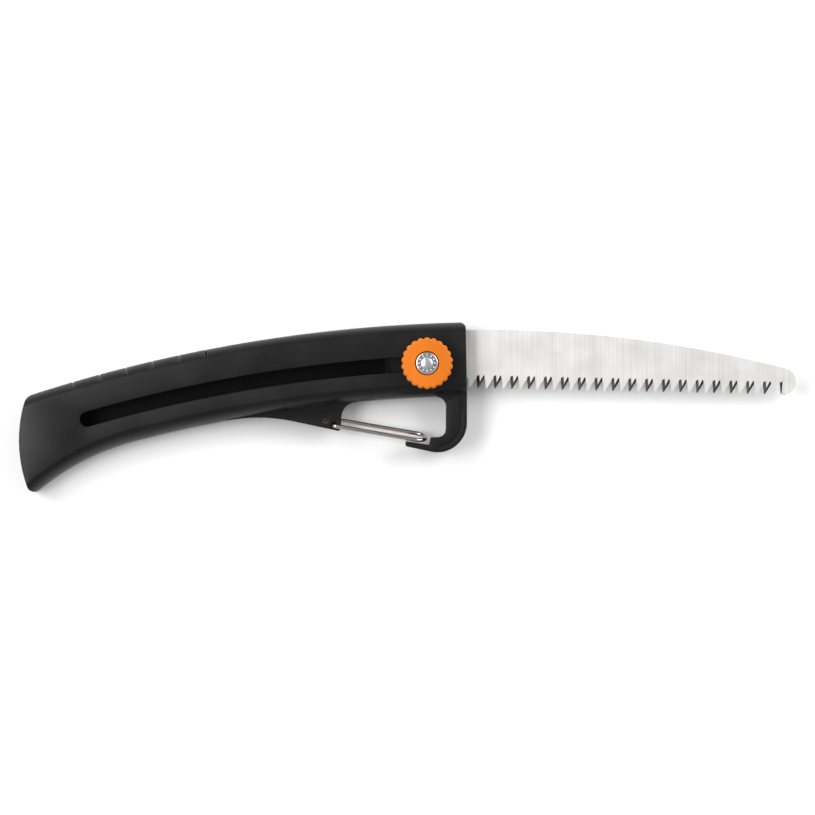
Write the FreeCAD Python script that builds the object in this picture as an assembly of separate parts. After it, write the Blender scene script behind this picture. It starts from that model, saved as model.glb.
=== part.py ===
import FreeCAD, Part
import math
import os

# Retracting pruning saw. Its curved blade slides into a curved handle of two moulded shells.
# Millimetres. The saw lies on its back shell: +Z is up towards the clamp knob, +X runs to the
# blade's tip, and +Y is the back of the blade. The origin is on the resting face, straight under
# the clamp knob with the blade locked out.
#
# The slot, the handle's edges and the blade's path are arcs about one far centre. A place on the
# plan is given by its station, the distance along the slot's centre line from the knob (plus is
# towards the tip), and its offset, the distance from that line (plus is towards the blade's back).

V = FreeCAD.Vector

# ---- driving dimensions -------------------------------------------------------------------------
ARC_R = 717.4            # radius of the slot's centre line
LEAN = 2.59              # degrees between +Y and the radius through the knob
SLOT_REAR = -169.0       # station of the slot's rear end, at the centre of its round
TONGUE_L = 6.0           # length of the tongue in the slot, between the centres of its rounds

HANDLE_T = 22.0          # thickness of the handle across its two flat sides
WALL = 2.4               # wall of the moulded shells
TOP_EDGE = 19.6          # offset of the handle's upper edge
BOTTOM_EDGE = -16.5      # offset of its lower edge
TOP_BAND = 4.6           # width of the rounded band above the flat side
BOTTOM_BAND = 6.0        # width of the rounded band below it
TOP_FLAT = 3.0           # straight part of the upper band at the joint line
BOTTOM_FLAT = 0.5        # the same on the lower band
FRONT = 19.3             # station of the front end
FRONT_CORNER = 3.2       # plan radius of the upper front corner
FLARE_STATION = -150.0   # where the lower edge starts to flare towards the tail
FLARE_R = 118.0          # radius of the flared lower edge
FLARE_SWEEP = 50         # degrees it is swept, past the tail's end
TAIL_X = -199.8          # the tail's furthest point
TAIL_Y = -37.6           # and its height
TAIL_R = 68.0            # radius of the tail end
TAIL_CORNER = 6.0        # plan radius of the tail's upper corner
HEEL_CORNER = 3.6        # and of its lower corner
CORNER_EASE = 0.06       # how much wider than tangent these roundings are

GROOVES = 6              # finger grooves over the back near the tail
GROOVE_FIRST = -170.9    # station of the one nearest the tail
GROOVE_PITCH = 13.05
GROOVE_DEPTH = 0.85      # depth of the one nearest the tail
GROOVE_LAST_DEPTH = 0.55 # and of the last one
GROOVE_ANGLE = 34.0      # half angle of their V

SLOT_W = 7.3             # slot in the knob side shell
RAIL_T = 1.2             # guide rails inside the shells

ARM_HALF = 5.7           # half thickness of the hook's arm
FIN_HALF = 3.5           # half thickness of the fin that holds the gate
ARM_INNER_X = 9.4        # inner face of the arm
HOOK_R = 14.5            # outer round of the hook
HOOK_DEPTH = 43.6        # how far the hook reaches below the knob's centre
NOSE_X = -10.6           # tip of the hook's nose
NOSE_TOP = 36.2          # depth of the nose's upper face below the knob's centre
NOSE_SLOPE = 12.0        # degrees that its underside rises towards the tip
FIN_STATION = -102.3     # where the fin leaves the lower edge
FIN_SWEEP_R = 84.0       # radius of the fin's lower edge there
FIN_FALL = 12.0          # degrees that the fin's lower edge then falls
FIN_END_X = -42.4        # the fin's end at the gate
LOOP_CORNER_FIN = 7.5    # corner radii of the carabiner loop
LOOP_CORNER_ARM = 5.0
LOOP_CORNER_NOSE = 4.0
ARM_TAPER = 0.3          # how much the arm's inner face leans in towards the nose
FIN_END_LEAN = 0.8       # how much the fin's end leans from upright
FIN_TIP_CORNER = 1.4
SEAT_ROOM = 1.0          # from the gate's bend to the end of its seat in the nose
SEAT_LEAN = 0.7          # how much the seat's end leans from upright
SEAT_CORNERS = (0.4, 0.5)        # corner radii at the top and the foot of the seat's end
NOSE_CORNERS = (0.8, 1.2)        # corner radii at the top and the foot of the nose's tip
GROOVE_LINE_W = 0.9      # bead groove along the arm's face
GROOVE_LINE_IN = 2.6     # its distance from the arm's outer edge
GROOVE_LINE_DEPTH = 0.5
GROOVE_LINE_END = 277    # direction of its rounded end round the hook's bend

WIRE_D = 2.0             # gate wire
GATE_LENGTH = 48.5       # from the gate's pivot to the end of its bend
GATE_FALL = 9.7          # degrees that the closed gate falls towards the nose
GATE_OPEN = 18.0         # degrees that the gate opens into the loop
GATE_SPREAD = 3.2        # how far apart its two legs lie on the plan
WIRE_GAP = 0.2           # between the wire and what it passes
PIVOT_X = -47.8          # the gate's pivot, midway between its two ends
PIVOT_Y = -29.4
END_ALONG = 2.25         # each end's distance from the pivot along the gate
END_ACROSS = 0.8         # and across it
JOG = 6.0                # where the far leg bends towards its end, from the pivot
JOG_BEND = 6.0           # radius of that bend
END_BEND = 1.5           # radius of the bends at the wire's ends
END_PLAY = 0.15          # round each end in its hole
END_TURN_PLAY = 1.5      # degrees more than the gate's swing at each end of the hole
NEAR_END_DEPTH = 0.8     # the near end's tip above the joint line
FAR_END_DEPTH = 1.0      # the far end's tip below the fin's upper face

BLADE_T = 1.2
BACK_OFFSET = 15.85      # offset of the blade's back where it leaves the handle
BACK_STATION = 10.0      # where the back starts to curve more tightly
BACK_R = 588.0           # radius of the back from there
MOUTH_LOW = -14.1        # offset of the lower end of the blade's mouth in the handle's front
MOUTH_GAP = 0.4          # round the blade in the mouth
TOOTH_X = 20.6           # the line of the tooth tips starts here
TOOTH_Y = -11.9
TOOTH_FALL = 1.24        # degrees that the line falls towards the tip
TOOTH_PITCH = 4.135
TOOTH_DEPTH = 4.6
TEETH = 38
FLANK = 0.11             # lean of the steep flank, as a share of the pitch
GULLET = 0.09            # flat at the gullet's bottom, likewise
TIP_FLAT = 0.14          # flat at the tip, likewise
NOSE_R = 6.7             # round end of the blade
TANG_REAR = -18.8        # station of the blade's rear end
TANG_LOWER = -8.5        # offset of the tang's lower edge
TANG_CORNER = (5.0, 4.0) # bevel of the tang's upper rear corner, along and down
NOSE_PAST = 0.4          # how far the nose reaches below the last tooth's tip
NOSE_END = -72           # direction on the nose at which the teeth start

CARRIAGE_HALF = 8.0      # half width of the sliding carriage
CARRIAGE_FRONT = 12.0    # its front and rear stations
CARRIAGE_REAR = -20.6
CARRIAGE_CORNER = 2.5
RAMP_W = 2.6             # ramp across the carriage's upper rear edge, seen through the slot
RAMP_DROP = 2.2
RAMP_SLANT = 12.0        # degrees that the ramp leans from square
TONGUE_DROP = 1.2        # tongue's top below the handle's outer face
SLIDE_GAP = 0.1          # between the carriage and the shells' inner faces
RAIL_GAP = 0.4           # between the carriage and its rails
TONGUE_GAP = 0.1         # between the tongue and the slot's sides

BOLT_D = 5.0             # M5 clamp bolt
BOLT_GAP = 0.1           # round the bolt in what it passes through
NUT_W = 8.0              # square nut
NUT_T = 4.0
NUT_GAP = 0.1
RIVET_D = 3.0
RIVET_HEAD_D = 4.4
RIVET_HEAD_T = 0.9
RIVET_PLACES = [(-8.4, 5.6), (-8.4, -5.6), (8.4, 5.6), (8.4, -5.6)]
RIVET_SINK = 1.2         # how deep its heads lie in the carriage
RIVET_FIT = 0.02         # round its shank
RIVET_HEAD_FIT = 0.05

KNOB_CREST_R = 12.65     # clamp knob, over its lobes
LOBE_DEPTH = 0.8
KNOB_LOBES = 22
KNOB_H = 8.6
KNOB_EDGE = 1.4          # rounding of its upper edge
KNOB_LIFT = 0.4          # its skirt above the handle
WASHER_T = 0.8
WASHER_R = 8.6
WASHER_ROOM = 0.3        # round the washers in the knob
SPRING_T = 0.6           # dished spring washer, clamped
SPRING_SHEET = 0.4       # its sheet
SPRING_R = 7.0
STACK_GAP = 0.05         # between pieces stacked under the knob
HEAD_R = 5.5             # clamp bolt's head, in the middle of the knob
HEAD_T = 2.6
HEAD_GAP = 0.4           # round the head in the knob
DOME_R = 2.9             # raised middle of the head
DOME_H = 0.5
HEAD_EDGE = 0.6          # rounding of the head's rim
HEAD_SINK = 0.3          # the head's rim below the knob's top
SQUARE_W = 6.4           # square neck under the head, in the knob
SQUARE_T = 2.2
BOLT_RISE = 0.8          # one turn of the M5 thread
RING_T = 0.6             # stop ring on the bolt's end
RING_R = 3.9
RING_DEPTH = 0.5         # its groove in the bolt
RING_MOUTH = 3.2         # width of its open side
RING_ROOM = 0.15         # left under the nut with the knob fully loosened
NUT_ROOF = 1.2           # carriage between the nut and the blade

SCREW_D = 2.9            # shell screws
SCREW_HEAD_R = 2.6
SCREW_HEAD_T = 1.6
SCREW_GAP = 0.05
SCREW_EDGE = 0.5         # rounding of the head
RECESS = (3.0, 0.7, 1.0) # cross recess: length, width, depth
BOSS_R = 3.4
SHOULDER_T = 1.8         # what the head clamps
TAIL_SHOULDER_T = 3.0
SCREW_PLACES = [         # plan place, bite beyond the joint line, shoulder, half thickness there
    ((14.4, -19.6), 4.4, SHOULDER_T, ARM_HALF),                 # top of the arm
    ((12.6, -33.6), 4.4, SHOULDER_T, ARM_HALF),                 # foot of the arm
    ((-56.6, -26.6), 2.9, SHOULDER_T, FIN_HALF),                # fin
    ((-194.6, -22.6), 8.0, TAIL_SHOULDER_T, HANDLE_T / 2),      # tail's upper corner
    ((-192.2, -57.2), 8.0, TAIL_SHOULDER_T, HANDLE_T / 2),      # tail's lower corner
]
SCREW_TIP_ROOM = 0.3     # beyond a screw's tip

# ---- what follows from them ---------------------------------------------------------------------
MID = HANDLE_T / 2       # height of the joint line between the shells
CENTRE = V(ARC_R * math.sin(math.radians(LEAN)), -ARC_R * math.cos(math.radians(LEAN)), 0)
INNER = MID - WALL       # height of the shells' inner faces above the joint line
FAR = 400.0              # longer than anything that is cut
TRAVEL = -SLOT_REAR - TONGUE_L   # how far the blade slides along the slot
PIVOT = V(PIVOT_X, PIVOT_Y, 0)


def polar(station):
    """Direction of a station's radius, in degrees from +X."""
    return 90 + LEAN - math.degrees(station / ARC_R)


def at(station, offset, height=0.0):
    """The point at a station and an offset."""
    angle = math.radians(polar(station))
    radius = ARC_R + offset
    return V(CENTRE.x + radius * math.cos(angle), CENTRE.y + radius * math.sin(angle), height)


def on_circle(centre, radius, degrees):
    angle = math.radians(degrees)
    return V(centre.x + radius * math.cos(angle), centre.y + radius * math.sin(angle), centre.z)


def bearing(centre, point):
    """Direction of a point seen from a centre, in degrees from +X."""
    return math.degrees(math.atan2(point.y - centre.y, point.x - centre.x))


def crossing(centre_a, radius_a, centre_b, radius_b):
    """Where two circles cross, the point nearer to the tail."""
    between = centre_b - centre_a
    gap = between.Length
    along = (radius_a ** 2 - radius_b ** 2 + gap ** 2) / (2 * gap)
    across = math.sqrt(radius_a ** 2 - along ** 2)
    unit = V(between.x / gap, between.y / gap, 0)
    normal = V(-unit.y, unit.x, 0)
    points = [centre_a + unit * along + normal * (across * side) for side in (1, -1)]
    return min(points, key=lambda point: point.x)


def line(start, end):
    return Part.LineSegment(start, end).toShape()


def arc(start, through, end):
    return Part.Arc(start, through, end).toShape()


def arc_about(centre, start, end):
    """The shorter arc from start to end about a centre."""
    turn = (bearing(centre, end) - bearing(centre, start) + 180) % 360 - 180
    middle = on_circle(centre, (start - centre).Length, bearing(centre, start) + turn / 2)
    return arc(start, middle, end)


def prism(edges, low, high):
    """A plan outline made solid between two heights."""
    face = Part.Face(Part.Wire(edges))
    solid = face.extrude(V(0, 0, high - low))
    solid.translate(V(0, 0, low))
    return solid


def round_corners(solid, corners):
    """Rounds a prism's upright edges: corners lists (plan point, radius)."""
    for point, radius in corners:
        found = []
        for edge in solid.Edges:
            first = edge.Vertexes[0].Point
            last = edge.Vertexes[-1].Point
            upright = abs(first.x - last.x) < 1e-6 and abs(first.y - last.y) < 1e-6
            near = math.hypot(first.x - point.x, first.y - point.y) < 1e-3
            if upright and near and abs(first.z - last.z) > 1e-6:
                found.append(edge)
        solid = solid.makeFillet(radius, found)
    return solid


def box(low, high):
    return Part.makeBox(high[0] - low[0], high[1] - low[1], high[2] - low[2], V(*low))


def drum(point, radius, low, high):
    """An upright cylinder at a plan point."""
    return Part.makeCylinder(radius, high - low, V(point.x, point.y, low))


def swung(face, centre, degrees):
    """A face turned about the upright line through a centre."""
    return face.revolve(centre, V(0, 0, 1), degrees)


def ring_part(profile, station_a, station_b):
    """A section, given as edges with x as offset and z as height, swung along the handle."""
    wire = Part.Wire(profile)
    wire.translate(V(ARC_R, 0, 0))
    face = Part.Face(wire)
    solid = swung(face, V(0, 0, 0), math.degrees((station_b - station_a) / ARC_R))
    solid.rotate(V(0, 0, 0), V(0, 0, 1), polar(station_b))
    solid.translate(CENTRE)
    return solid


def bar_section(offset_a, offset_b, low, high):
    """A rectangular section."""
    corners = [V(offset_a, 0, low), V(offset_b, 0, low), V(offset_b, 0, high), V(offset_a, 0, high)]
    return [line(corners[i], corners[(i + 1) % 4]) for i in range(4)]


def arc_bar(station_a, station_b, offset_a, offset_b, low, high):
    """A rectangular bar bent along the handle."""
    return ring_part(bar_section(offset_a, offset_b, low, high), station_a, station_b)


def arc_slot(station_a, station_b, width, low, high):
    """A bar along the slot's centre line, with round ends centred on its two stations."""
    slot = arc_bar(station_a, station_b, -width / 2, width / 2, low, high)
    ends = [drum(at(station, 0), width / 2, low, high) for station in (station_a, station_b)]
    return slot.fuse(ends).removeSplitter()


def one(shape):
    """The single solid in a shape."""
    shape = shape.removeSplitter()
    if len(shape.Solids) != 1:
        raise ValueError("%d solids where one is meant" % len(shape.Solids))
    return shape.Solids[0]


def mirrored(shape):
    """The same shape on the other side of the joint line."""
    return shape.mirror(V(0, 0, MID), V(0, 0, 1))


# ---- handle shells ------------------------------------------------------------------------------
def band_round(width, flat):
    """Radius of a side band that rises from the joint line to the flat side."""
    return (width ** 2 + (MID - flat) ** 2) / (2 * width)


def band_section(edge, sign, width, flat, inset, reach):
    """Half section of one side of the handle, from its edge to an offset reach.

    sign is +1 where the edge is the upper one and -1 where it is the lower one.
    """
    radius = band_round(width, flat)
    centre = V(edge - sign * radius, 0, MID + flat)
    top = HANDLE_T - inset
    small = radius - inset
    end_angle = math.degrees(math.asin((top - centre.z) / small))

    def on_band(degrees):
        angle = math.radians(degrees)
        return V(centre.x + sign * small * math.cos(angle), 0, centre.z + small * math.sin(angle))

    foot = V(centre.x + sign * small, 0, MID)
    start, middle, crease = on_band(0), on_band(end_angle / 2), on_band(end_angle)
    inner_top = V(reach, 0, top)
    inner_foot = V(reach, 0, MID)
    return [line(foot, start), arc(start, middle, crease), line(crease, inner_top),
            line(inner_top, inner_foot), line(inner_foot, foot)]


def tail_circle(inset):
    return V(TAIL_X + TAIL_R, TAIL_Y, 0), TAIL_R - inset


def handle_ends(inset):
    """Prism that the handle is cut to: its tail end and its front are true, its sides stand clear."""
    clear = 2 * WALL
    top_r = ARC_R + TOP_EDGE + clear
    tail_centre, tail_r = tail_circle(inset)
    flare_centre = at(FLARE_STATION, BOTTOM_EDGE - FLARE_R)
    flare_r = FLARE_R - clear
    front_top = at(FRONT - inset, TOP_EDGE + clear)
    front_low = at(FRONT - inset, BOTTOM_EDGE - clear)
    flare_start = at(FLARE_STATION, BOTTOM_EDGE - clear)
    tail_top = crossing(CENTRE, top_r, tail_centre, tail_r)
    tail_low = crossing(flare_centre, flare_r, tail_centre, tail_r)
    outline = [
        arc_about(CENTRE, front_top, tail_top),
        arc(tail_top, on_circle(tail_centre, tail_r, 180), tail_low),
        arc_about(flare_centre, tail_low, flare_start),
        arc_about(CENTRE, flare_start, front_low),
        line(front_low, front_top),
    ]
    return prism(outline, MID - 1, HANDLE_T + 1)


def corner_cutter(centre, radius, first, last):
    """What a rounding about a centre removes between the two places where it meets the outline."""
    # the rounding starts just outside the outline, so it meets it at a slight angle
    reach = radius + CORNER_EASE
    start = centre + (first - centre).normalize() * reach
    end = centre + (last - centre).normalize() * reach
    out = ((start - centre) + (end - centre)).normalize()
    beyond = centre + out * (2.5 * radius)
    return prism([line(start, beyond), line(beyond, end), arc(end, centre + out * reach, start)],
                 MID - 1, HANDLE_T + 1)


def corner_cutters():
    """Plan roundings of the tail's two corners and of the upper front corner."""
    tail_centre, tail_r = tail_circle(0)
    flare_centre = at(FLARE_STATION, BOTTOM_EDGE - FLARE_R)
    top_r = ARC_R + TOP_EDGE
    top = crossing(CENTRE, top_r - TAIL_CORNER, tail_centre, tail_r - TAIL_CORNER)
    heel = crossing(flare_centre, FLARE_R + HEEL_CORNER, tail_centre, tail_r - HEEL_CORNER)
    turn = math.asin(FRONT_CORNER / (top_r - FRONT_CORNER))
    front = at(FRONT - ARC_R * turn, TOP_EDGE - FRONT_CORNER)
    reach = (top_r - FRONT_CORNER) * math.cos(turn)
    return [
        corner_cutter(top, TAIL_CORNER, on_circle(CENTRE, top_r, bearing(CENTRE, top)),
                      on_circle(tail_centre, tail_r, bearing(tail_centre, top))),
        corner_cutter(heel, HEEL_CORNER, on_circle(flare_centre, FLARE_R, bearing(flare_centre, heel)),
                      on_circle(tail_centre, tail_r, bearing(tail_centre, heel))),
        corner_cutter(front, FRONT_CORNER, on_circle(CENTRE, top_r, bearing(CENTRE, front)),
                      at(FRONT, reach - ARC_R)),
    ]


def handle_half(inset):
    """The upper half of the handle's body as one block, inset all round."""
    tail = 2 * TAIL_X - FLARE_STATION        # a station well past the tail's end
    flare_centre = at(FLARE_STATION, BOTTOM_EDGE - FLARE_R)
    upper = ring_part(band_section(TOP_EDGE, 1, TOP_BAND, TOP_FLAT, inset, 0), tail, FRONT)
    lower = ring_part(band_section(BOTTOM_EDGE, -1, BOTTOM_BAND, BOTTOM_FLAT, inset, 0),
                      FLARE_STATION, FRONT)
    # the flared lower side turns about its own centre, and reaches up under the upper side
    cover = TOP_EDGE - TOP_BAND - BOTTOM_EDGE - 2 * WALL
    section = Part.Wire(band_section(0, -1, BOTTOM_BAND, BOTTOM_FLAT, inset, cover))
    section.translate(V(FLARE_R, 0, 0))
    flare = swung(Part.Face(section), V(0, 0, 0), FLARE_SWEEP)
    flare.rotate(V(0, 0, 0), V(0, 0, 1), polar(FLARE_STATION))
    flare.translate(flare_centre)
    return upper.fuse([lower, flare]).removeSplitter().common(handle_ends(inset))


def finger_groove(number):
    """Two straight V cutters over the upper band, which run out where the flat side starts."""
    station = GROOVE_FIRST + number * GROOVE_PITCH
    depth = GROOVE_DEPTH + (GROOVE_LAST_DEPTH - GROOVE_DEPTH) * number / (GROOVES - 1)
    bottom = TOP_EDGE - depth
    knee = V(bottom, 0, MID + TOP_FLAT + depth)
    foot = V(bottom, 0, MID - depth)
    crease = V(TOP_EDGE - TOP_BAND, 0, HANDLE_T)
    proud = 2.5 * depth
    half = proud * math.tan(math.radians(GROOVE_ANGLE))
    cutters = []
    for low, high in ((foot, knee), (knee, crease)):
        along = (high - low).normalize()
        outward = V(along.z, 0, -along.x) * proud
        start = low - along * depth
        corners = [start, start + outward + V(0, half, 0), start + outward - V(0, half, 0)]
        face = Part.Face(Part.makePolygon(corners + [start]))
        cutter = face.extrude(along * ((high - low).Length + 2 * depth))
        cutter.translate(V(ARC_R, 0, 0))
        cutter.rotate(V(0, 0, 0), V(0, 0, 1), polar(station))
        cutter.translate(CENTRE)
        cutters.append(cutter)
    return cutters


def gate_frame():
    """Plan outline, corners and limits of the fin and the hook under the handle."""
    root = BOTTOM_EDGE + 2 * WALL            # how far the frame's root reaches into the handle
    bottom_r = ARC_R + BOTTOM_EDGE
    fin_start = at(FIN_STATION, BOTTOM_EDGE)
    sweep_centre = at(FIN_STATION, BOTTOM_EDGE - FIN_SWEEP_R)
    sweep_end = on_circle(sweep_centre, FIN_SWEEP_R, 90 - FIN_FALL)
    fall = math.tan(math.radians(FIN_FALL))
    fin_tip = V(FIN_END_X, sweep_end.y - (FIN_END_X - sweep_end.x) * fall, 0)
    fin_top_x = FIN_END_X + FIN_END_LEAN
    fin_top = V(fin_top_x, CENTRE.y + math.sqrt(bottom_r ** 2 - (fin_top_x - CENTRE.x) ** 2), 0)
    arm_top = V(ARM_INNER_X, CENTRE.y + math.sqrt(bottom_r ** 2 - (ARM_INNER_X - CENTRE.x) ** 2), 0)
    arm_low = V(ARM_INNER_X - ARM_TAPER, -NOSE_TOP, 0)
    outer_x = at(FRONT, BOTTOM_EDGE).x
    hook_centre = V(outer_x - HOOK_R, -HOOK_DEPTH + HOOK_R, 0)
    seat = seat_line()
    slope = math.radians(NOSE_SLOPE)
    under = on_circle(hook_centre, HOOK_R, 270 - NOSE_SLOPE)
    nose_low = V(NOSE_X, under.y + (under.x - NOSE_X) * math.tan(slope), 0)
    nose_high = V(NOSE_X, seat(NOSE_X), 0)
    end_x = gate_end_x() + SEAT_ROOM
    seat_end = V(end_x, seat(end_x), 0)
    seat_top = V(end_x + SEAT_LEAN, -NOSE_TOP, 0)
    outer_top = at(FRONT, BOTTOM_EDGE)
    root_front = at(FRONT, root)
    root_rear = at(FIN_STATION, root)
    outline = [
        arc_about(sweep_centre, fin_start, sweep_end), line(sweep_end, fin_tip), line(fin_tip, fin_top),
        arc_about(CENTRE, fin_top, arm_top), line(arm_top, arm_low), line(arm_low, seat_top),
        line(seat_top, seat_end), line(seat_end, nose_high), line(nose_high, nose_low),
        line(nose_low, under), arc_about(hook_centre, under, on_circle(hook_centre, HOOK_R, 315)),
        arc_about(hook_centre, on_circle(hook_centre, HOOK_R, 315), V(outer_x, hook_centre.y, 0)),
        line(V(outer_x, hook_centre.y, 0), outer_top), line(outer_top, root_front),
        arc_about(CENTRE, root_front, root_rear), line(root_rear, fin_start),
    ]
    corners = [
        (fin_tip, FIN_TIP_CORNER), (fin_top, LOOP_CORNER_FIN), (arm_top, LOOP_CORNER_ARM),
        (arm_low, LOOP_CORNER_NOSE), (seat_top, SEAT_CORNERS[0]), (seat_end, SEAT_CORNERS[1]),
        (nose_high, NOSE_CORNERS[0]), (nose_low, NOSE_CORNERS[1]),
    ]
    return outline, corners, fin_top.x + LOOP_CORNER_FIN, arm_top.x - LOOP_CORNER_ARM


def gate_direction():
    fall = math.radians(GATE_FALL)
    return V(math.cos(fall), -math.sin(fall), 0)


def gate_end_x():
    return (PIVOT + gate_direction() * GATE_LENGTH).x


def seat_line():
    """Height of the nose's seat under the closed gate, as a function of x."""
    along = gate_direction()
    below = END_ACROSS + WIRE_D / 2 + 2 * WIRE_GAP
    drop = below / along.x

    def height(x):
        return PIVOT.y + (x - PIVOT.x) * along.y / along.x - drop

    return height


def frame_half():
    """Upper half of the fin and the hook."""
    outline, corners, fin_limit, arm_limit = gate_frame()
    plate = round_corners(prism(outline, MID, MID + ARM_HALF), corners)
    arm = box((arm_limit, -FAR, MID), (FAR, FAR, MID + ARM_HALF))
    nose = box((fin_limit, -FAR, MID), (FAR, -NOSE_TOP + LOOP_CORNER_NOSE, MID + ARM_HALF))
    hook = plate.common(arm.fuse(nose))
    fin = plate.common(box((-FAR, -FAR, MID), (fin_limit, FAR, MID + FIN_HALF)))
    return hook, fin


def arm_groove():
    """Cutter of the shallow groove that follows the arm's outer edge."""
    outer_x = at(FRONT, BOTTOM_EDGE).x
    centre = V(outer_x - HOOK_R, -HOOK_DEPTH + HOOK_R, 0)
    outer_r = HOOK_R - GROOVE_LINE_IN
    inner_r = outer_r - GROOVE_LINE_W
    low, high = MID + ARM_HALF - GROOVE_LINE_DEPTH, MID + ARM_HALF + 1
    end = GROOVE_LINE_END
    upright = box((centre.x + inner_r, centre.y, low), (centre.x + outer_r, BOTTOM_EDGE, high))
    ring = drum(centre, outer_r, low, high).cut(drum(centre, inner_r, low, high))
    wedge = Part.Face(Part.Wire([
        line(centre, on_circle(centre, HOOK_R, end)),
        arc_about(centre, on_circle(centre, HOOK_R, end), on_circle(centre, HOOK_R, 360)),
        line(on_circle(centre, HOOK_R, 360), centre)])).extrude(V(0, 0, high - low))
    wedge.translate(V(0, 0, low))
    middle_r = (outer_r + inner_r) / 2
    tip = drum(on_circle(centre, middle_r, end), GROOVE_LINE_W / 2, low, high)
    return upright.fuse([ring.common(wedge), tip])


def wire_ends():
    """Plan places of the wire's two ends in the fin: the near one is on the knob's side."""
    along = gate_direction()
    across = V(-along.y, along.x, 0)
    reach = along * END_ALONG - across * END_ACROSS
    return PIVOT + reach, PIVOT - reach


def wire_end_hole(point, low, high):
    """Hole for a wire end, with room for the end to swing about the gate's pivot."""
    radius = WIRE_D / 2 + END_PLAY
    swing = (point - PIVOT).Length
    start = bearing(PIVOT, point)
    inner, outer = swing - radius, swing + radius
    first, last = start - END_TURN_PLAY, start + GATE_OPEN + END_TURN_PLAY
    edges = [
        arc_about(PIVOT, on_circle(PIVOT, outer, first), on_circle(PIVOT, outer, last)),
        line(on_circle(PIVOT, outer, last), on_circle(PIVOT, inner, last)),
        arc_about(PIVOT, on_circle(PIVOT, inner, last), on_circle(PIVOT, inner, first)),
        line(on_circle(PIVOT, inner, first), on_circle(PIVOT, outer, first)),
    ]
    hole = prism(edges, low, high)
    ends = [drum(on_circle(PIVOT, swing, degrees), radius, low, high) for degrees in (first, last)]
    return hole.fuse(ends).removeSplitter()


def half_shell():
    """What both shells share, built above the joint line."""
    hook, fin = frame_half()
    hollow = handle_half(WALL)
    body = handle_half(0).cut(corner_cutters())
    shell = body.fuse([hook, fin]).removeSplitter().cut(hollow)
    rails = []
    for side in (-1, 1):
        near = side * (CARRIAGE_HALF + RAIL_GAP)
        far = near + side * RAIL_T
        rails.append(arc_bar(-TRAVEL + CARRIAGE_REAR, CARRIAGE_FRONT, min(near, far), max(near, far),
                             MID + BLADE_T / 2 + RAIL_GAP, HANDLE_T - WALL / 2))
    bosses = []
    for place, _, _, half in SCREW_PLACES:
        if half == HANDLE_T / 2:
            bosses.append(drum(V(place[0], place[1], 0), BOSS_R, MID, HANDLE_T - WALL / 2))
    shell = shell.fuse(rails + [boss.common(body) for boss in bosses]).removeSplitter()
    for number in range(GROOVES):
        for cutter in finger_groove(number):
            shell = shell.cut(cutter)
    shell = shell.cut(arm_groove())
    mouth = arc_bar(FRONT - 2 * WALL, FRONT + WALL, MOUTH_LOW, BACK_OFFSET + 2 * MOUTH_GAP,
                    MID - 1, MID + BLADE_T / 2 + MOUTH_GAP)
    return shell.cut(mouth)


def knob_side_shell():
    shell = half_shell()
    shell = shell.cut(arc_slot(SLOT_REAR, 0, SLOT_W, MID + INNER / 2, HANDLE_T + 1))
    near, far = wire_ends()
    shell = shell.cut(wire_end_hole(near, MID + NEAR_END_DEPTH - WIRE_GAP, MID + FIN_HALF + 1))
    shell = shell.cut(drum(far, WIRE_D / 2 + END_PLAY, MID - 1, MID + FIN_HALF + 1).fuse(
        wire_end_hole(far, MID - 1, MID + FIN_HALF - FAR_END_DEPTH + WIRE_GAP)))
    for place, bite, _, _ in SCREW_PLACES:
        point = V(place[0], place[1], 0)
        shell = shell.cut(drum(point, SCREW_D / 2 + SCREW_GAP, MID - 1, MID + bite + SCREW_TIP_ROOM))
    return one(shell)


def back_shell():
    shell = mirrored(half_shell())
    _, far = wire_ends()
    shell = shell.cut(wire_end_hole(far, MID - FIN_HALF - 1, MID + 1))
    for place, _, shoulder, half in SCREW_PLACES:
        point = V(place[0], place[1], 0)
        seat = head_seat(shoulder, half)
        shell = shell.cut(drum(point, SCREW_D / 2 + SCREW_GAP, -1, MID + 1))
        shell = shell.cut(drum(point, SCREW_HEAD_R + 2 * SCREW_GAP, -1, seat))
    return one(shell)


def head_seat(shoulder, half):
    """Height of the face that a screw's head bears on."""
    return MID - shoulder if half == HANDLE_T / 2 else MID - half + SCREW_HEAD_T


def shell_screw(place, bite, shoulder, half):
    """Pan head screw put in from the back, with a cross recess in its head."""
    point = V(place[0], place[1], 0)
    seat = head_seat(shoulder, half)
    head = drum(point, SCREW_HEAD_R, seat - SCREW_HEAD_T, seat)
    rim = [edge for edge in head.Edges if edge.Vertexes[0].Z < seat - 1e-6 and edge.Closed]
    head = head.makeFillet(SCREW_EDGE, rim)
    screw = head.fuse(drum(point, SCREW_D / 2, seat, MID + bite))
    arm, slit, deep = RECESS[0] / 2, RECESS[1] / 2, RECESS[2]
    low = seat - SCREW_HEAD_T - 1
    for across, along in ((arm, slit), (slit, arm)):
        screw = screw.cut(box((point.x - across, point.y - along, low),
                              (point.x + across, point.y + along, low + 1 + deep)))
    return one(screw)


# ---- gate ---------------------------------------------------------------------------------------
def bent_wire(points, radii, radius):
    """A round wire along straight runs, with an arc of the given radius at each inner point."""
    edges = []
    start = points[0]
    for index, bend in enumerate(radii):
        corner = points[index + 1]
        before = (points[index] - corner).normalize()
        after = (points[index + 2] - corner).normalize()
        half = before.getAngle(after) / 2
        reach = bend / math.tan(half)
        first = corner + before * reach
        last = corner + after * reach
        towards = (before + after).normalize()
        middle = corner + towards * (bend / math.sin(half) - bend)
        if (first - start).Length > 1e-6:
            edges.append(line(start, first))
        edges.append(arc(first, middle, last))
        start = last
    edges.append(line(start, points[-1]))
    path = Part.Wire(edges)
    ring = Part.Wire(Part.makeCircle(radius, points[0], (points[1] - points[0]).normalize()))
    return path.makePipeShell([ring], True, False)


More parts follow.
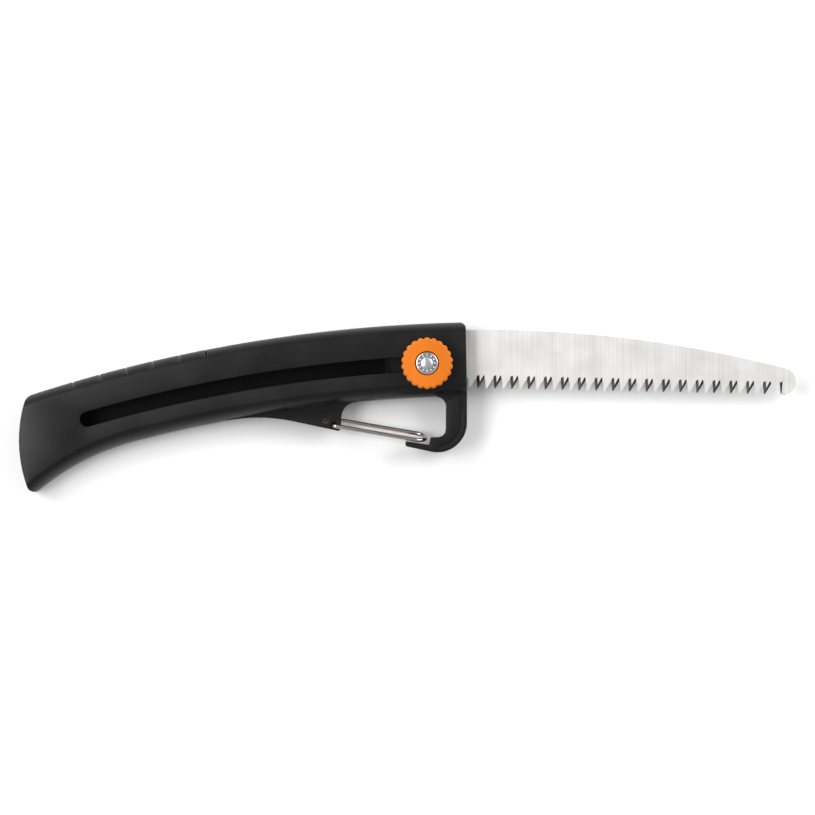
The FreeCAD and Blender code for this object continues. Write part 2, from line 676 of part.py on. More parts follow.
def wire_gate():
    """Sprung wire gate: two legs beside the fin, joined by a round bend at the nose."""
    along = gate_direction()
    across = V(-along.y, along.x, 0)
    side = FIN_HALF + WIRE_GAP + WIRE_D / 2
    near, far = wire_ends()
    bend = 0.999 * math.hypot(side, GATE_SPREAD / 2)     # the round bend takes up all but a hair
    turn = PIVOT + along * (GATE_LENGTH - WIRE_D / 2)
    low, high = -END_ACROSS, GATE_SPREAD - END_ACROSS
    near_leg = turn + across * low + V(0, 0, MID + side)
    far_leg = turn + across * high + V(0, 0, MID - side)
    jog = PIVOT + along * JOG + across * high + V(0, 0, MID - side)
    points = [
        V(near.x, near.y, MID + NEAR_END_DEPTH), V(near.x, near.y, MID + side), near_leg, far_leg, jog,
        V(far.x, far.y, MID - side), V(far.x, far.y, MID + FIN_HALF - FAR_END_DEPTH),
    ]
    return one(bent_wire(points, [END_BEND, bend, bend, JOG_BEND, END_BEND], WIRE_D / 2))


# ---- blade and its carriage ---------------------------------------------------------------------
def blade():
    """Toothed blade: concentric tang, a back that curves down and a straight line of tooth tips."""
    fall = math.radians(TOOTH_FALL)
    along = V(math.cos(fall), -math.sin(fall), 0)
    inward = V(math.sin(fall), math.cos(fall), 0)
    first = V(TOOTH_X, TOOTH_Y, 0)
    back_centre = at(BACK_STATION, BACK_OFFSET - BACK_R)
    back_start = at(BACK_STATION, BACK_OFFSET)
    last_tip = first + along * (TOOTH_PITCH * (TEETH - 1))
    # the nose is a circle that touches the back's arc inside and passes just past the last tooth
    reach = BACK_R - NOSE_R
    level = last_tip.y + NOSE_R - NOSE_PAST
    nose_centre = V(back_centre.x + math.sqrt(reach ** 2 - (level - back_centre.y) ** 2), level, 0)
    back_end = on_circle(nose_centre, NOSE_R, bearing(back_centre, nose_centre))
    nose_low = on_circle(nose_centre, NOSE_R, NOSE_END)
    rear_top = at(TANG_REAR, BACK_OFFSET - TANG_CORNER[1])
    tang_top = at(TANG_REAR + TANG_CORNER[0], BACK_OFFSET)
    rear_low = at(TANG_REAR, TANG_LOWER)
    heel_top = at(FRONT - 4, TANG_LOWER)
    heel = first - along * (0.5 * TOOTH_PITCH) + inward * TOOTH_DEPTH
    edges = [
        line(rear_low, rear_top), line(rear_top, tang_top), arc_about(CENTRE, tang_top, back_start),
        arc_about(back_centre, back_start, back_end),
        arc(back_end, on_circle(nose_centre, NOSE_R, -15), nose_low),
    ]
    # teeth, from the nose back to the handle: a steep flank, a small flat tip, a slanting flank
    point = nose_low
    for number in reversed(range(TEETH)):
        tip = first + along * (TOOTH_PITCH * number)
        gullet = tip - along * (FLANK * TOOTH_PITCH) + inward * TOOTH_DEPTH
        lead = tip + along * (TIP_FLAT * TOOTH_PITCH)
        if number < TEETH - 1:
            rise = tip + along * ((1 - FLANK - GULLET) * TOOTH_PITCH) + inward * TOOTH_DEPTH
            edges.append(line(point, rise))
            point = rise
        edges.append(line(point, lead))
        edges.append(line(lead, tip))
        edges.append(line(tip, gullet))
        point = gullet
    edges.append(line(point, heel_top))
    edges.append(arc_about(CENTRE, heel_top, rear_low))
    plate = prism(edges, MID - BLADE_T / 2, MID + BLADE_T / 2)
    plate = plate.cut(drum(V(0, 0, 0), BOLT_D / 2 + BOLT_GAP, 0, HANDLE_T))
    for place in RIVET_PLACES:
        plate = plate.cut(drum(at(*place), RIVET_D / 2 + RIVET_FIT, 0, HANDLE_T))
    return one(plate)


def carriage_holes(solid, head_low, head_high):
    """The bolt's and the rivets' holes, with the rivet heads sunk between two heights."""
    solid = solid.cut(drum(V(0, 0, 0), BOLT_D / 2 + BOLT_GAP, -1, HANDLE_T + 1))
    for place in RIVET_PLACES:
        solid = solid.cut(drum(at(*place), RIVET_D / 2 + RIVET_FIT, -1, HANDLE_T + 1))
        solid = solid.cut(drum(at(*place), RIVET_HEAD_D / 2 + RIVET_HEAD_FIT, head_low, head_high))
    return solid


def carriage_block(low, high):
    """Outer block of one half of the carriage, with round corners."""
    body = arc_bar(CARRIAGE_REAR, CARRIAGE_FRONT, -CARRIAGE_HALF, CARRIAGE_HALF, low, high)
    ends = [at(station, side * CARRIAGE_HALF) for station in (CARRIAGE_REAR, CARRIAGE_FRONT)
            for side in (-1, 1)]
    return round_corners(body, [(point, CARRIAGE_CORNER) for point in ends])


def rear_ramp(high):
    """Cutter of the ramp across the carriage's upper rear edge."""
    side = -2 * CARRIAGE_HALF
    places = [(0, high), (-RAMP_W, high - RAMP_DROP), (-3 * RAMP_W, high - RAMP_DROP),
              (-3 * RAMP_W, high + 1), (0, high + 1)]
    corners = [V(x, side, z) for x, z in places]
    ramp = Part.Face(Part.makePolygon(corners + [corners[0]])).extrude(V(0, -2 * side, 0))
    ramp.rotate(V(0, 0, 0), V(0, 0, 1), polar(CARRIAGE_REAR) - 90 + RAMP_SLANT)
    ramp.translate(at(CARRIAGE_REAR + RAMP_W, 0))
    return ramp


def guide_shoe():
    """Upper half of the carriage, with the tongue that runs in the slot."""
    high = HANDLE_T - WALL - SLIDE_GAP
    body = carriage_block(MID + BLADE_T / 2, high).cut(rear_ramp(high))
    body = carriage_holes(body, high - RIVET_SINK, HANDLE_T + 1)
    tongue = arc_slot(-TONGUE_L, 0, SLOT_W - 2 * TONGUE_GAP, high - 1, HANDLE_T - TONGUE_DROP)
    tongue = tongue.cut(drum(V(0, 0, 0), BOLT_D / 2 + BOLT_GAP, -1, HANDLE_T + 1))
    return one(body.fuse(tongue))


def blade_carrier():
    """Lower half of the carriage, with the pocket of the square nut."""
    low = WALL + SLIDE_GAP
    body = carriage_holes(carriage_block(low, MID - BLADE_T / 2), 0, low + RIVET_SINK)
    half = NUT_W / 2 + NUT_GAP
    return one(body.cut(box((-half, -half, 0), (half, half, nut_top()))))


def nut_top():
    return MID - BLADE_T / 2 - NUT_ROOF


def clamp_nut():
    half = NUT_W / 2
    body = box((-half, -half, nut_top() - NUT_T), (half, half, nut_top()))
    return one(body.cut(drum(V(0, 0, 0), BOLT_D / 2 + STACK_GAP, 0, HANDLE_T)))


def carrier_rivet(place):
    """Rivet through the carriage and the blade, with a low head at each end."""
    low = WALL + SLIDE_GAP + RIVET_SINK
    high = HANDLE_T - low
    point = at(*place)
    shank = drum(point, RIVET_D / 2, low, high)
    foot = drum(point, RIVET_HEAD_D / 2, low - RIVET_HEAD_T, low)
    head = drum(point, RIVET_HEAD_D / 2, high, high + RIVET_HEAD_T)
    return one(shank.fuse([foot, head]))


# ---- clamp --------------------------------------------------------------------------------------
def washer_low():
    return HANDLE_T + STACK_GAP


def spring_low():
    return washer_low() + WASHER_T


def knob_floor():
    """Underside of the knob's recess, which bears on the spring washer."""
    return spring_low() + SPRING_T + STACK_GAP


def knob_top():
    return HANDLE_T + KNOB_LIFT + KNOB_H


def thrust_washer():
    centre = V(0, 0, 0)
    low = washer_low()
    washer = drum(centre, WASHER_R, low, low + WASHER_T)
    return one(washer.cut(drum(centre, BOLT_D / 2 + BOLT_GAP, low - 1, low + 2 * WASHER_T)))


def spring_washer():
    """Dished spring washer that keeps the knob from working loose."""
    low = spring_low()
    inner = BOLT_D / 2 + 2 * BOLT_GAP
    dish = SPRING_T - SPRING_SHEET
    corners = [V(inner, 0, low + dish), V(SPRING_R, 0, low), V(SPRING_R, 0, low + SPRING_SHEET),
               V(inner, 0, low + SPRING_T)]
    face = Part.Face(Part.makePolygon(corners + [corners[0]]))
    return one(face.revolve(V(0, 0, 0), V(0, 0, 1), 360))


def knob():
    """Clamp knob with a lobed rim, a recess for the washers and a pocket for the bolt's head."""
    centre = V(0, 0, 0)
    low, top = HANDLE_T + KNOB_LIFT, knob_top()
    step = 360 / KNOB_LOBES
    valley_r = KNOB_CREST_R - LOBE_DEPTH
    edges = []
    for number in range(KNOB_LOBES):
        start = number * step
        points = [on_circle(centre, valley_r, start),
                  on_circle(centre, KNOB_CREST_R, start + step / 2),
                  on_circle(centre, valley_r, start + step)]
        edges.append(arc(*points))
    body = prism(edges, low, top)
    crown = Part.makeCylinder(KNOB_CREST_R + 0.01, KNOB_H, V(0, 0, low))
    upper = [edge for edge in crown.Edges if edge.Closed and edge.Vertexes[0].Z > top - 1e-6]
    crown = crown.makeFillet(KNOB_EDGE, upper)
    body = body.common(crown)
    body = body.cut(drum(centre, WASHER_R + WASHER_ROOM, low - 1, knob_floor()))
    body = body.cut(drum(centre, HEAD_R + HEAD_GAP, head_low(), top + 1))
    half = SQUARE_W / 2 + NUT_GAP / 2
    body = body.cut(box((-half, -half, head_low() - SQUARE_T), (half, half, top)))
    return one(body.cut(drum(centre, BOLT_D / 2 + BOLT_GAP, low - 1, top)))


def head_low():
    return knob_top() - HEAD_SINK - HEAD_T


def clamp_bolt():
    """M5 bolt whose square neck is held in the knob and whose shank runs down into the nut."""
    centre = V(0, 0, 0)
    head = drum(centre, HEAD_R, head_low(), head_low() + HEAD_T)
    top = [edge for edge in head.Edges if edge.Closed and edge.Vertexes[0].Z > head_low() + 1e-6]
    head = head.makeFillet(HEAD_EDGE, top)
    high = head_low() + HEAD_T
    dome_r = (DOME_R ** 2 + DOME_H ** 2) / (2 * DOME_H)
    dome = Part.makeSphere(dome_r, V(0, 0, high + DOME_H - dome_r))
    dome = dome.common(drum(centre, DOME_R, high - 0.2, high + 2 * DOME_H))
    half = SQUARE_W / 2
    neck = box((-half, -half, head_low() - SQUARE_T), (half, half, head_low()))
    shank = drum(centre, BOLT_D / 2, ring_low() - RING_T, head_low())
    groove = drum(centre, BOLT_D / 2 + 1, ring_low(), ring_low() + RING_T).cut(
        drum(centre, BOLT_D / 2 - RING_DEPTH, 0, HANDLE_T))
    return one(head.fuse([dome, neck, shank.cut(groove)]))


def ring_low():
    """The stop ring meets the nut when the knob has been loosened by one turn."""
    return nut_top() - NUT_T - BOLT_RISE - RING_ROOM - RING_T


def bolt_stop_ring():
    """Open retaining ring in the groove at the bolt's end."""
    centre = V(0, 0, 0)
    ring = drum(centre, RING_R, ring_low(), ring_low() + RING_T)
    ring = ring.cut(drum(centre, BOLT_D / 2 - RING_DEPTH, 0, HANDLE_T))
    return one(ring.cut(box((0, -RING_MOUTH / 2, 0), (FAR, RING_MOUTH / 2, HANDLE_T))))


# ---- write every piece --------------------------------------------------------------------------
def pieces():
    named = {
        "knob_side_shell": knob_side_shell(),
        "back_shell": back_shell(),
        "wire_gate": wire_gate(),
        "blade": blade(),
        "guide_shoe": guide_shoe(),
        "blade_carrier": blade_carrier(),
        "clamp_nut": clamp_nut(),
        "thrust_washer": thrust_washer(),
        "spring_washer": spring_washer(),
        "knob": knob(),
        "clamp_bolt": clamp_bolt(),
        "bolt_stop_ring": bolt_stop_ring(),
    }
    for number, (place, bite, shoulder, half) in enumerate(SCREW_PLACES, 1):
        named["shell_screw_%d" % number] = shell_screw(place, bite, shoulder, half)
    for number, place in enumerate(RIVET_PLACES, 1):
        named["carrier_rivet_%d" % number] = carrier_rivet(place)
    return named


os.makedirs("parts", exist_ok=True)
for name, shape in pieces().items():
    if not shape.isValid():
        raise ValueError(name + " is not a valid solid")
    shape.exportStep("parts/" + name + ".step")
    size = shape.BoundBox
    print("%-16s %8.1f mm3   %6.1f x %6.1f x %5.1f" % (
        name, shape.Volume, size.XLength, size.YLength, size.ZLength))
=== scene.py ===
# %% [markdown]
# # A retracting pruning saw
# The saw lies on its back, the clamp knob up and the toothed blade slid out to the right. Its
# handle is two moulded black half shells; a hook and a sprung wire gate under the handle make a
# belt loop. The dimensioned model comes first, and every visible piece is then finished or
# rebuilt over it, riding on the same moving body.

# %% Start from the dimensioned model
import bpy
import bmesh
import math
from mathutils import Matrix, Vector


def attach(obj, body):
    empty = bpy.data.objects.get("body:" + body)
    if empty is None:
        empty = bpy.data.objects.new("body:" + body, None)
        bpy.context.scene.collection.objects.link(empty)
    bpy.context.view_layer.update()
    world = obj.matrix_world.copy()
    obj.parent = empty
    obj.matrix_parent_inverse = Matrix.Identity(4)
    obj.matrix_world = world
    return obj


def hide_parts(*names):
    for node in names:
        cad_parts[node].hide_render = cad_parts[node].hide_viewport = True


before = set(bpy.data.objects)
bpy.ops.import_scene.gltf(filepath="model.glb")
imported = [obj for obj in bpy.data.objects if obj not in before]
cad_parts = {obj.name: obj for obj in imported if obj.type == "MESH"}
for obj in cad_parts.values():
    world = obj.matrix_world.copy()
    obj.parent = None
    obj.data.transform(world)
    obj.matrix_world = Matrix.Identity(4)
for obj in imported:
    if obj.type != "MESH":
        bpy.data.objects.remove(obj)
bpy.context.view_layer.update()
MM = 0.001

# %% [markdown]
# ## Plan of the saw
# The slot, the handle's edges and the blade's path are arcs about one far centre. The pieces that
# are rebuilt need the same plan, so a place is given by its station along the slot from the
# knob and its offset from the slot's centre line, in millimetres, as a saw maker would lay it out.

# %% Stations and offsets
ARC_R, LEAN = 717.4, math.radians(2.59)     # radius of the slot's arc, and its tilt at the knob
ARC_CENTRE = Vector((ARC_R * math.sin(LEAN), -ARC_R * math.cos(LEAN), 0))
HANDLE_T = 22.0
MID = HANDLE_T / 2                          # height of the joint between the shells


def at(station, offset):
    """Plan point at a station and an offset."""
    angle = math.pi / 2 + LEAN - station / ARC_R
    return ARC_CENTRE + Vector((math.cos(angle), math.sin(angle), 0)) * (ARC_R + offset)


def arc_points(centre, start, end, count):
    """Points along the shorter arc from start to end about a centre, both ends included."""
    first = math.atan2(start.y - centre.y, start.x - centre.x)
    last = math.atan2(end.y - centre.y, end.x - centre.x)
    turn = (last - first + math.pi) % (2 * math.pi) - math.pi
    radius = (start - centre).length
    angles = [first + turn * i / count for i in range(count + 1)]
    return [centre + Vector((math.cos(angle), math.sin(angle), 0)) * radius for angle in angles]


print("slot's far centre, mm:", [round(c, 1) for c in ARC_CENTRE])

# %% [markdown]
# ## Finishes
# A Principled shader holds the even values of a finish. What varies over a surface, such as grain,
# scratches and smudges, is added with noise in the object's own coordinates, so it stays put when
# a piece moves. A texture picture would do it too, but would have to be painted for each piece.

# %% Helpers for a finish
def new_finish(name, colour, rough, metal=0.0, specular=0.5):
    """A named material with its even values set on the shader."""
    material = bpy.data.materials.new(name)
    material.use_nodes = True
    shader = material.node_tree.nodes["Principled BSDF"]
    shader.inputs["Base Color"].default_value = (*colour, 1)
    shader.inputs["Roughness"].default_value = rough
    shader.inputs["Metallic"].default_value = metal
    shader.inputs["Specular IOR Level"].default_value = specular
    material.diffuse_color = (*colour, 1)
    return material


def grain(material, scale, stretch=(1, 1, 1), detail=4.0, seed=(0, 0, 0)):
    """Noise in the piece's own coordinates; stretch draws it out along one way."""
    nodes, links = material.node_tree.nodes, material.node_tree.links
    place = nodes.new("ShaderNodeTexCoord")
    turn = nodes.new("ShaderNodeMapping")
    turn.inputs["Scale"].default_value = stretch
    turn.inputs["Location"].default_value = seed
    noise = nodes.new("ShaderNodeTexNoise")
    noise.inputs["Scale"].default_value = scale
    noise.inputs["Detail"].default_value = detail
    links.new(place.outputs["Object"], turn.inputs["Vector"])
    links.new(turn.outputs["Vector"], noise.inputs["Vector"])
    return noise.outputs["Fac"]


def spread(material, value, low, high, to_low, to_high):
    """Maps a noise value from one span to another, held within it."""
    ranged = material.node_tree.nodes.new("ShaderNodeMapRange")
    ends = {"From Min": low, "From Max": high, "To Min": to_low, "To Max": to_high}
    for name, number in ends.items():
        ranged.inputs[name].default_value = number
    material.node_tree.links.new(value, ranged.inputs["Value"])
    return ranged.outputs["Result"]


def tint(material, value, dark, light):
    """Drives the base colour between two tones."""
    nodes, links = material.node_tree.nodes, material.node_tree.links
    mix = nodes.new("ShaderNodeMix")
    mix.data_type = "RGBA"
    mix.inputs["A"].default_value = (*dark, 1)
    mix.inputs["B"].default_value = (*light, 1)
    links.new(value, mix.inputs["Factor"])
    links.new(mix.outputs["Result"], nodes["Principled BSDF"].inputs["Base Color"])


def rough_by(material, value):
    """Drives the roughness."""
    nodes, links = material.node_tree.nodes, material.node_tree.links
    links.new(value, nodes["Principled BSDF"].inputs["Roughness"])


def bump_by(material, heights, distance):
    """Adds relief: heights lists (value, strength), one bump on top of the other."""
    nodes, links = material.node_tree.nodes, material.node_tree.links
    before = None
    for value, strength in heights:
        bump = nodes.new("ShaderNodeBump")
        bump.inputs["Strength"].default_value = strength
        bump.inputs["Distance"].default_value = distance
        links.new(value, bump.inputs["Height"])
        if before:
            links.new(before, bump.inputs["Normal"])
        before = bump.outputs["Normal"]
    links.new(before, nodes["Principled BSDF"].inputs["Normal"])


def scratches(material, scale, stretch, seed, low=0.66, high=0.72):
    """Sparse fine lines: the crests of a drawn-out noise."""
    return spread(material, grain(material, scale, stretch, 2.0, seed), low, high, 0.0, 1.0)


print("finish helpers ready")

# %% [markdown]
# ### Moulded plastics
# The shells are black glass-filled nylon: a satin skin from a spark-eroded mould, with a fine even
# grain, faint long scratches from use and patches rubbed smoother by the hand. The knob is
# the same kind of plastic in orange. The carriage in the slot is darker and duller. The inside of
# the shells, seen down the slot, is darker still: painted shade in the deep channel.

# %% Shell, carriage and knob plastics
def moulded(name, colour, rough, specular, tones, grain_scale=1600):
    """A moulded plastic: hand-worn patches, spark-eroded grain, hair scratches."""
    made = new_finish(name, colour, rough, specular=specular)
    patches = grain(made, 45, seed=(0.3, 0.1, 0))
    fine = grain(made, grain_scale, detail=2.0)
    lines = scratches(made, 55, (1, 9, 9), (0.2, 0.4, 0.6))
    tint(made, spread(made, patches, 0.35, 0.65, 0, 1), *tones)
    rough_by(made, spread(made, patches, 0.3, 0.7, rough - 0.05, rough + 0.06))
    bump_by(made, [(fine, 0.22), (lines, 0.10)], 0.0002)
    return made


shell_plastic = moulded("shell plastic", (0.0046, 0.0046, 0.0049), 0.38, 0.25,
                        ((0.0036, 0.0036, 0.0038), (0.0056, 0.0056, 0.0059)))
carriage_plastic = moulded("carriage plastic", (0.0035, 0.0035, 0.004), 0.5, 0.14,
                           ((0.0028, 0.0028, 0.0032), (0.0042, 0.0042, 0.0046)))
knob_plastic = moulded("knob plastic", (0.60, 0.146, 0.004), 0.42, 0.25,
                       ((0.57, 0.138, 0.003), (0.63, 0.154, 0.005)))
# the darkest plastic is painted shade for the deep channel inside the shells
slot_shade_plastic = moulded("inner plastic", (0.002, 0.002, 0.0022), 0.6, 0.12,
                        ((0.0016, 0.0016, 0.0018), (0.0024, 0.0024, 0.0026)))
plastics = (shell_plastic, carriage_plastic, knob_plastic, slot_shade_plastic)
print("plastics:", ", ".join(plastic.name for plastic in plastics))

# %% [markdown]
# ### Metals
# The blade is spring steel ground across its width, so its streaks run from back to teeth and
# are long and fine. The tooth bevels and the wire's cut end take a dark brown steel as painted
# shade, standing for the shade and dark reflections on those small faces. The ring in the bolt's
# head is etched dark. The wire is polished stainless, drawn lengthwise; small hardware is zinc
# plated.

# %% Ground, drawn and plated metals
def metal(name, tones, rough, streak, distance=0.00005, strength=0.12):
    """A metal with streaks drawn out by a stretch, and a cloudy roughness."""
    middle = [(a + b) / 2 for a, b in zip(*tones)]
    made = new_finish(name, middle, rough, metal=1.0)
    streaks = grain(made, 60, streak, 5.0)
    clouds = grain(made, 80, seed=(0.7, 0.2, 0.1))
    tint(made, spread(made, streaks, 0.3, 0.7, 0, 1), *tones)
    rough_by(made, spread(made, clouds, 0.3, 0.7, rough - 0.04, rough + 0.05))
    bump_by(made, [(streaks, strength)], distance)
    return made


blade_steel = metal("blade steel", ((0.69, 0.68, 0.675), (0.81, 0.80, 0.795)), 0.50,
                    (24, 0.35, 0.35))
# painted shade: a dark brown steel for the tooth bevels and the wire's cut end
bevel_steel = metal("tooth bevel steel", ((0.10, 0.075, 0.06), (0.17, 0.13, 0.105)), 0.45,
                    (8, 1, 1))
bolt_steel = metal("bolt steel", ((0.62, 0.65, 0.68), (0.74, 0.77, 0.80)), 0.26, (10, 10, 10))
etched_steel = metal("etched ring steel", ((0.10, 0.10, 0.11), (0.30, 0.30, 0.31)), 0.5,
                     (22, 22, 22))
zinc_steel = metal("zinc plate", ((0.52, 0.52, 0.53), (0.66, 0.66, 0.66)), 0.34, (9, 9, 9))
screw_steel = metal("dark zinc plate", ((0.26, 0.26, 0.27), (0.38, 0.38, 0.39)), 0.36, (9, 9, 9))
rivet_metal = metal("rivet aluminium", ((0.70, 0.70, 0.71), (0.82, 0.82, 0.83)), 0.34, (9, 9, 9))
gate_steel = metal("gate wire steel", ((0.40, 0.355, 0.325), (0.54, 0.49, 0.455)), 0.22,
                   (0.6, 12, 12))
metals = (blade_steel, bevel_steel, bolt_steel, etched_steel, zinc_steel, screw_steel,
          rivet_metal, gate_steel)
print("metals:", ", ".join(finish.name for finish in metals))

# %% [markdown]
# ## Tools for building
# Three small node trees do the repeated work. One turns a profile into a round piece, as on a
# lathe, and can scallop its rim. One draws a round bar along a path. One sets copies of a
# piece out on points. Each is baked to a plain mesh before it joins its moving body.

# %% Helpers for node trees and meshes
WELD = 2e-6                 # metres; points nearer than this are one


def mesh_object(name, points, edges=(), faces=()):
    """A new object at the origin from points in metres."""
    mesh = bpy.data.meshes.new(name)
    mesh.from_pydata([tuple(p) for p in points], list(edges), [tuple(f) for f in faces])
    mesh.update()
    made = bpy.data.objects.new(name, mesh)
    bpy.context.scene.collection.objects.link(made)
    return made


def new_tree(name, *sockets):
    """An empty tree with a Geometry way through and named inputs: sockets lists (name, kind)."""
    tree = bpy.data.node_groups.new(name, "GeometryNodeTree")
    tree.interface.new_socket("Geometry", in_out="INPUT", socket_type="NodeSocketGeometry")
    for label, kind in sockets:
        tree.interface.new_socket(label, in_out="INPUT", socket_type="NodeSocket" + kind)
    tree.interface.new_socket("Geometry", in_out="OUTPUT", socket_type="NodeSocketGeometry")
    return tree, tree.nodes.new("NodeGroupInput"), tree.nodes.new("NodeGroupOutput")


def add(tree, kind, settings=None, **links):
    """Adds a node. Keywords i0, i1 ... fill its inputs by number, with a socket or a value."""
    made = tree.nodes.new(kind)
    for key, value in (settings or {}).items():
        setattr(made, key, value)
    for key, value in links.items():
        socket = made.inputs[int(key[1:])]
        if isinstance(value, bpy.types.NodeSocket):
            tree.links.new(value, socket)
        else:
            socket.default_value = value
    return made


def math_node(tree, operation, a, b=0.0, c=0.0):
    return add(tree, "ShaderNodeMath", {"operation": operation}, i0=a, i1=b, i2=c).outputs[0]


def live(sockets, kind):
    """The socket of a kind that a node's settings leave in use."""
    return next(s for s in sockets if s.type == kind and s.enabled)


def end_tree(tree, geometry, material, result):
    """The end of a tree: copies become real faces, and take their material."""
    real = add(tree, "GeometryNodeRealizeInstances", i0=geometry).outputs[0]
    last = add(tree, "GeometryNodeSetMaterial", i0=real, i2=material).outputs[0]
    tree.links.new(last, result.inputs[0])


def bake(made, tree, **values):
    """Runs a tree on an object with named inputs, and keeps the result as a plain mesh."""
    modifier = made.modifiers.new("build", "NODES")
    modifier.node_group = tree
    for item in tree.interface.items_tree:
        key = item.name.lower().replace(" ", "_")
        if item.in_out == "INPUT" and key in values:
            modifier[item.identifier] = values[key]
    depsgraph = bpy.context.evaluated_depsgraph_get()
    mesh = bpy.data.meshes.new_from_object(made.evaluated_get(depsgraph))
    made.modifiers.clear()
    made.data = mesh
    mesh.name = made.name
    tidy(made)
    return made


def tidy(made, merge=WELD):
    """Closes seams and poles and turns every face outwards."""
    work = bmesh.new()
    work.from_mesh(made.data)
    bmesh.ops.remove_doubles(work, verts=work.verts, dist=merge)
    bmesh.ops.dissolve_degenerate(work, edges=work.edges, dist=merge)
    bmesh.ops.delete(work, geom=[e for e in work.edges if not e.link_faces], context="EDGES")
    bmesh.ops.recalc_face_normals(work, faces=work.faces)
    work.to_mesh(made.data)
    work.free()


def smooth_by_angle(made, degrees=35):
    """Shades smoothly, with sharp edges kept where faces meet at more than an angle."""
    made.data.shade_smooth()
    made.data.set_sharp_from_angle(angle=math.radians(degrees))


def discard(*gone):
    """Removes patterns that were only needed to set copies out."""
    for item in gone:
        bpy.data.objects.remove(item, do_unlink=True)


def open_edges(made):
    """How many edges don't lie between two faces: none on a closed piece."""
    work = bmesh.new()
    work.from_mesh(made.data)
    count = sum(1 for e in work.edges if len(e.link_faces) != 2)
    work.free()
    return count


print("build helpers ready")

# %% The lathe tree
def lathe_tree():
    """Turns a closed profile, with x as radius, about the upright axis, and scallops its rim."""
    tree, given, result = new_tree("turned piece", ("Steps", "Int"), ("Lobes", "Int"),
                                   ("Lobe Depth", "Float"), ("Lobe From", "Float"),
                                   ("Lobe To", "Float"), ("Material", "Material"))
    profile, steps, lobes, depth, start, full, material = given.outputs[:7]
    size = add(tree, "GeometryNodeAttributeDomainSize", {"component": "MESH"}, i0=profile)
    count = size.outputs[0]
    columns = math_node(tree, "ADD", steps, 1)
    rows = math_node(tree, "ADD", count, 1)
    grid = add(tree, "GeometryNodeMeshGrid", i2=columns, i3=rows).outputs[0]
    index = add(tree, "GeometryNodeInputIndex").outputs[0]
    nudged = math_node(tree, "ADD", index, 0.25)            # keeps the division off whole numbers
    column = math_node(tree, "FLOOR", math_node(tree, "DIVIDE", nudged, rows))
    row = math_node(tree, "SUBTRACT", index, math_node(tree, "MULTIPLY", column, rows))
    row = math_node(tree, "MODULO", math_node(tree, "ADD", row, 0.25), count)
    position = add(tree, "GeometryNodeInputPosition").outputs[0]
    sample = add(tree, "GeometryNodeSampleIndex", {"data_type": "FLOAT_VECTOR", "domain": "POINT"},
                 i0=profile)
    tree.links.new(position, live(sample.inputs, "VECTOR"))
    tree.links.new(math_node(tree, "FLOOR", row), sample.inputs["Index"])
    apart = add(tree, "ShaderNodeSeparateXYZ", i0=live(sample.outputs, "VECTOR"))
    turn = math_node(tree, "MULTIPLY", math_node(tree, "DIVIDE", column, steps), 2 * math.pi)
    wave = math_node(tree, "ABSOLUTE", math_node(
        tree, "SINE", math_node(tree, "MULTIPLY", turn, math_node(tree, "MULTIPLY", lobes, 0.5))))
    dip = math_node(tree, "MULTIPLY", math_node(tree, "SUBTRACT", 1.0, wave), depth)
    share = add(tree, "ShaderNodeMapRange", i0=apart.outputs[0], i1=start, i2=full,
                i3=0.0, i4=1.0).outputs[0]
    radius = math_node(tree, "SUBTRACT", apart.outputs[0], math_node(tree, "MULTIPLY", dip, share))
    place = add(tree, "ShaderNodeCombineXYZ",
                i0=math_node(tree, "MULTIPLY", radius, math_node(tree, "COSINE", turn)),
                i1=math_node(tree, "MULTIPLY", radius, math_node(tree, "SINE", turn)),
                i2=apart.outputs[2]).outputs[0]
    turned = add(tree, "GeometryNodeSetPosition", i0=grid, i2=place).outputs[0]
    merged = add(tree, "GeometryNodeMergeByDistance", i0=turned)
    merged.inputs["Distance"].default_value = WELD
    end_tree(tree, merged.outputs[0], material, result)
    return tree


def profile_object(name, corners):
    """A closed profile from (radius, height) corners in millimetres."""
    points = [(r * MM, 0, z * MM) for r, z in corners]
    return mesh_object(name, points, [(i, (i + 1) % len(points)) for i in range(len(points))])


def quarter(centre_r, centre_z, radius, first, last, count=6):
    """(radius, height) points along a rounding, angles in degrees from outwards to up."""
    found = []
    for i in range(count + 1):
        angle = math.radians(first + (last - first) * i / count)
        found.append((centre_r + radius * math.cos(angle), centre_z + radius * math.sin(angle)))
    return found


turned_piece = lathe_tree()


def turned(name, corners, steps, material, **scallops):
    """A piece turned from a profile, with a plain rim unless it is given scallops."""
    rim_values = {"lobes": 1, "lobe_depth": 0.0, "lobe_from": 1.0, "lobe_to": 2.0, **scallops}
    return bake(profile_object(name, corners), turned_piece, steps=steps, material=material,
                **rim_values)


print("lathe tree has", len(turned_piece.nodes), "nodes")

# %% The bar and setting-out trees
def bar_tree():
    """A round bar along the object's own edges."""
    tree, given, result = new_tree("round bar", ("Radius", "Float"), ("Sides", "Int"),
                                   ("Material", "Material"))
    path, radius, sides, material = given.outputs[:4]
    curve = add(tree, "GeometryNodeMeshToCurve", i0=path).outputs[0]
    ring = add(tree, "GeometryNodeCurvePrimitiveCircle", {"mode": "RADIUS"})
    tree.links.new(sides, ring.inputs["Resolution"])
    tree.links.new(radius, ring.inputs["Radius"])
    swept = add(tree, "GeometryNodeCurveToMesh")
    tree.links.new(curve, swept.inputs["Curve"])
    tree.links.new(ring.outputs[0], swept.inputs["Profile Curve"])
    swept.inputs["Fill Caps"].default_value = True
    end_tree(tree, swept.outputs[0], material, result)
    return tree


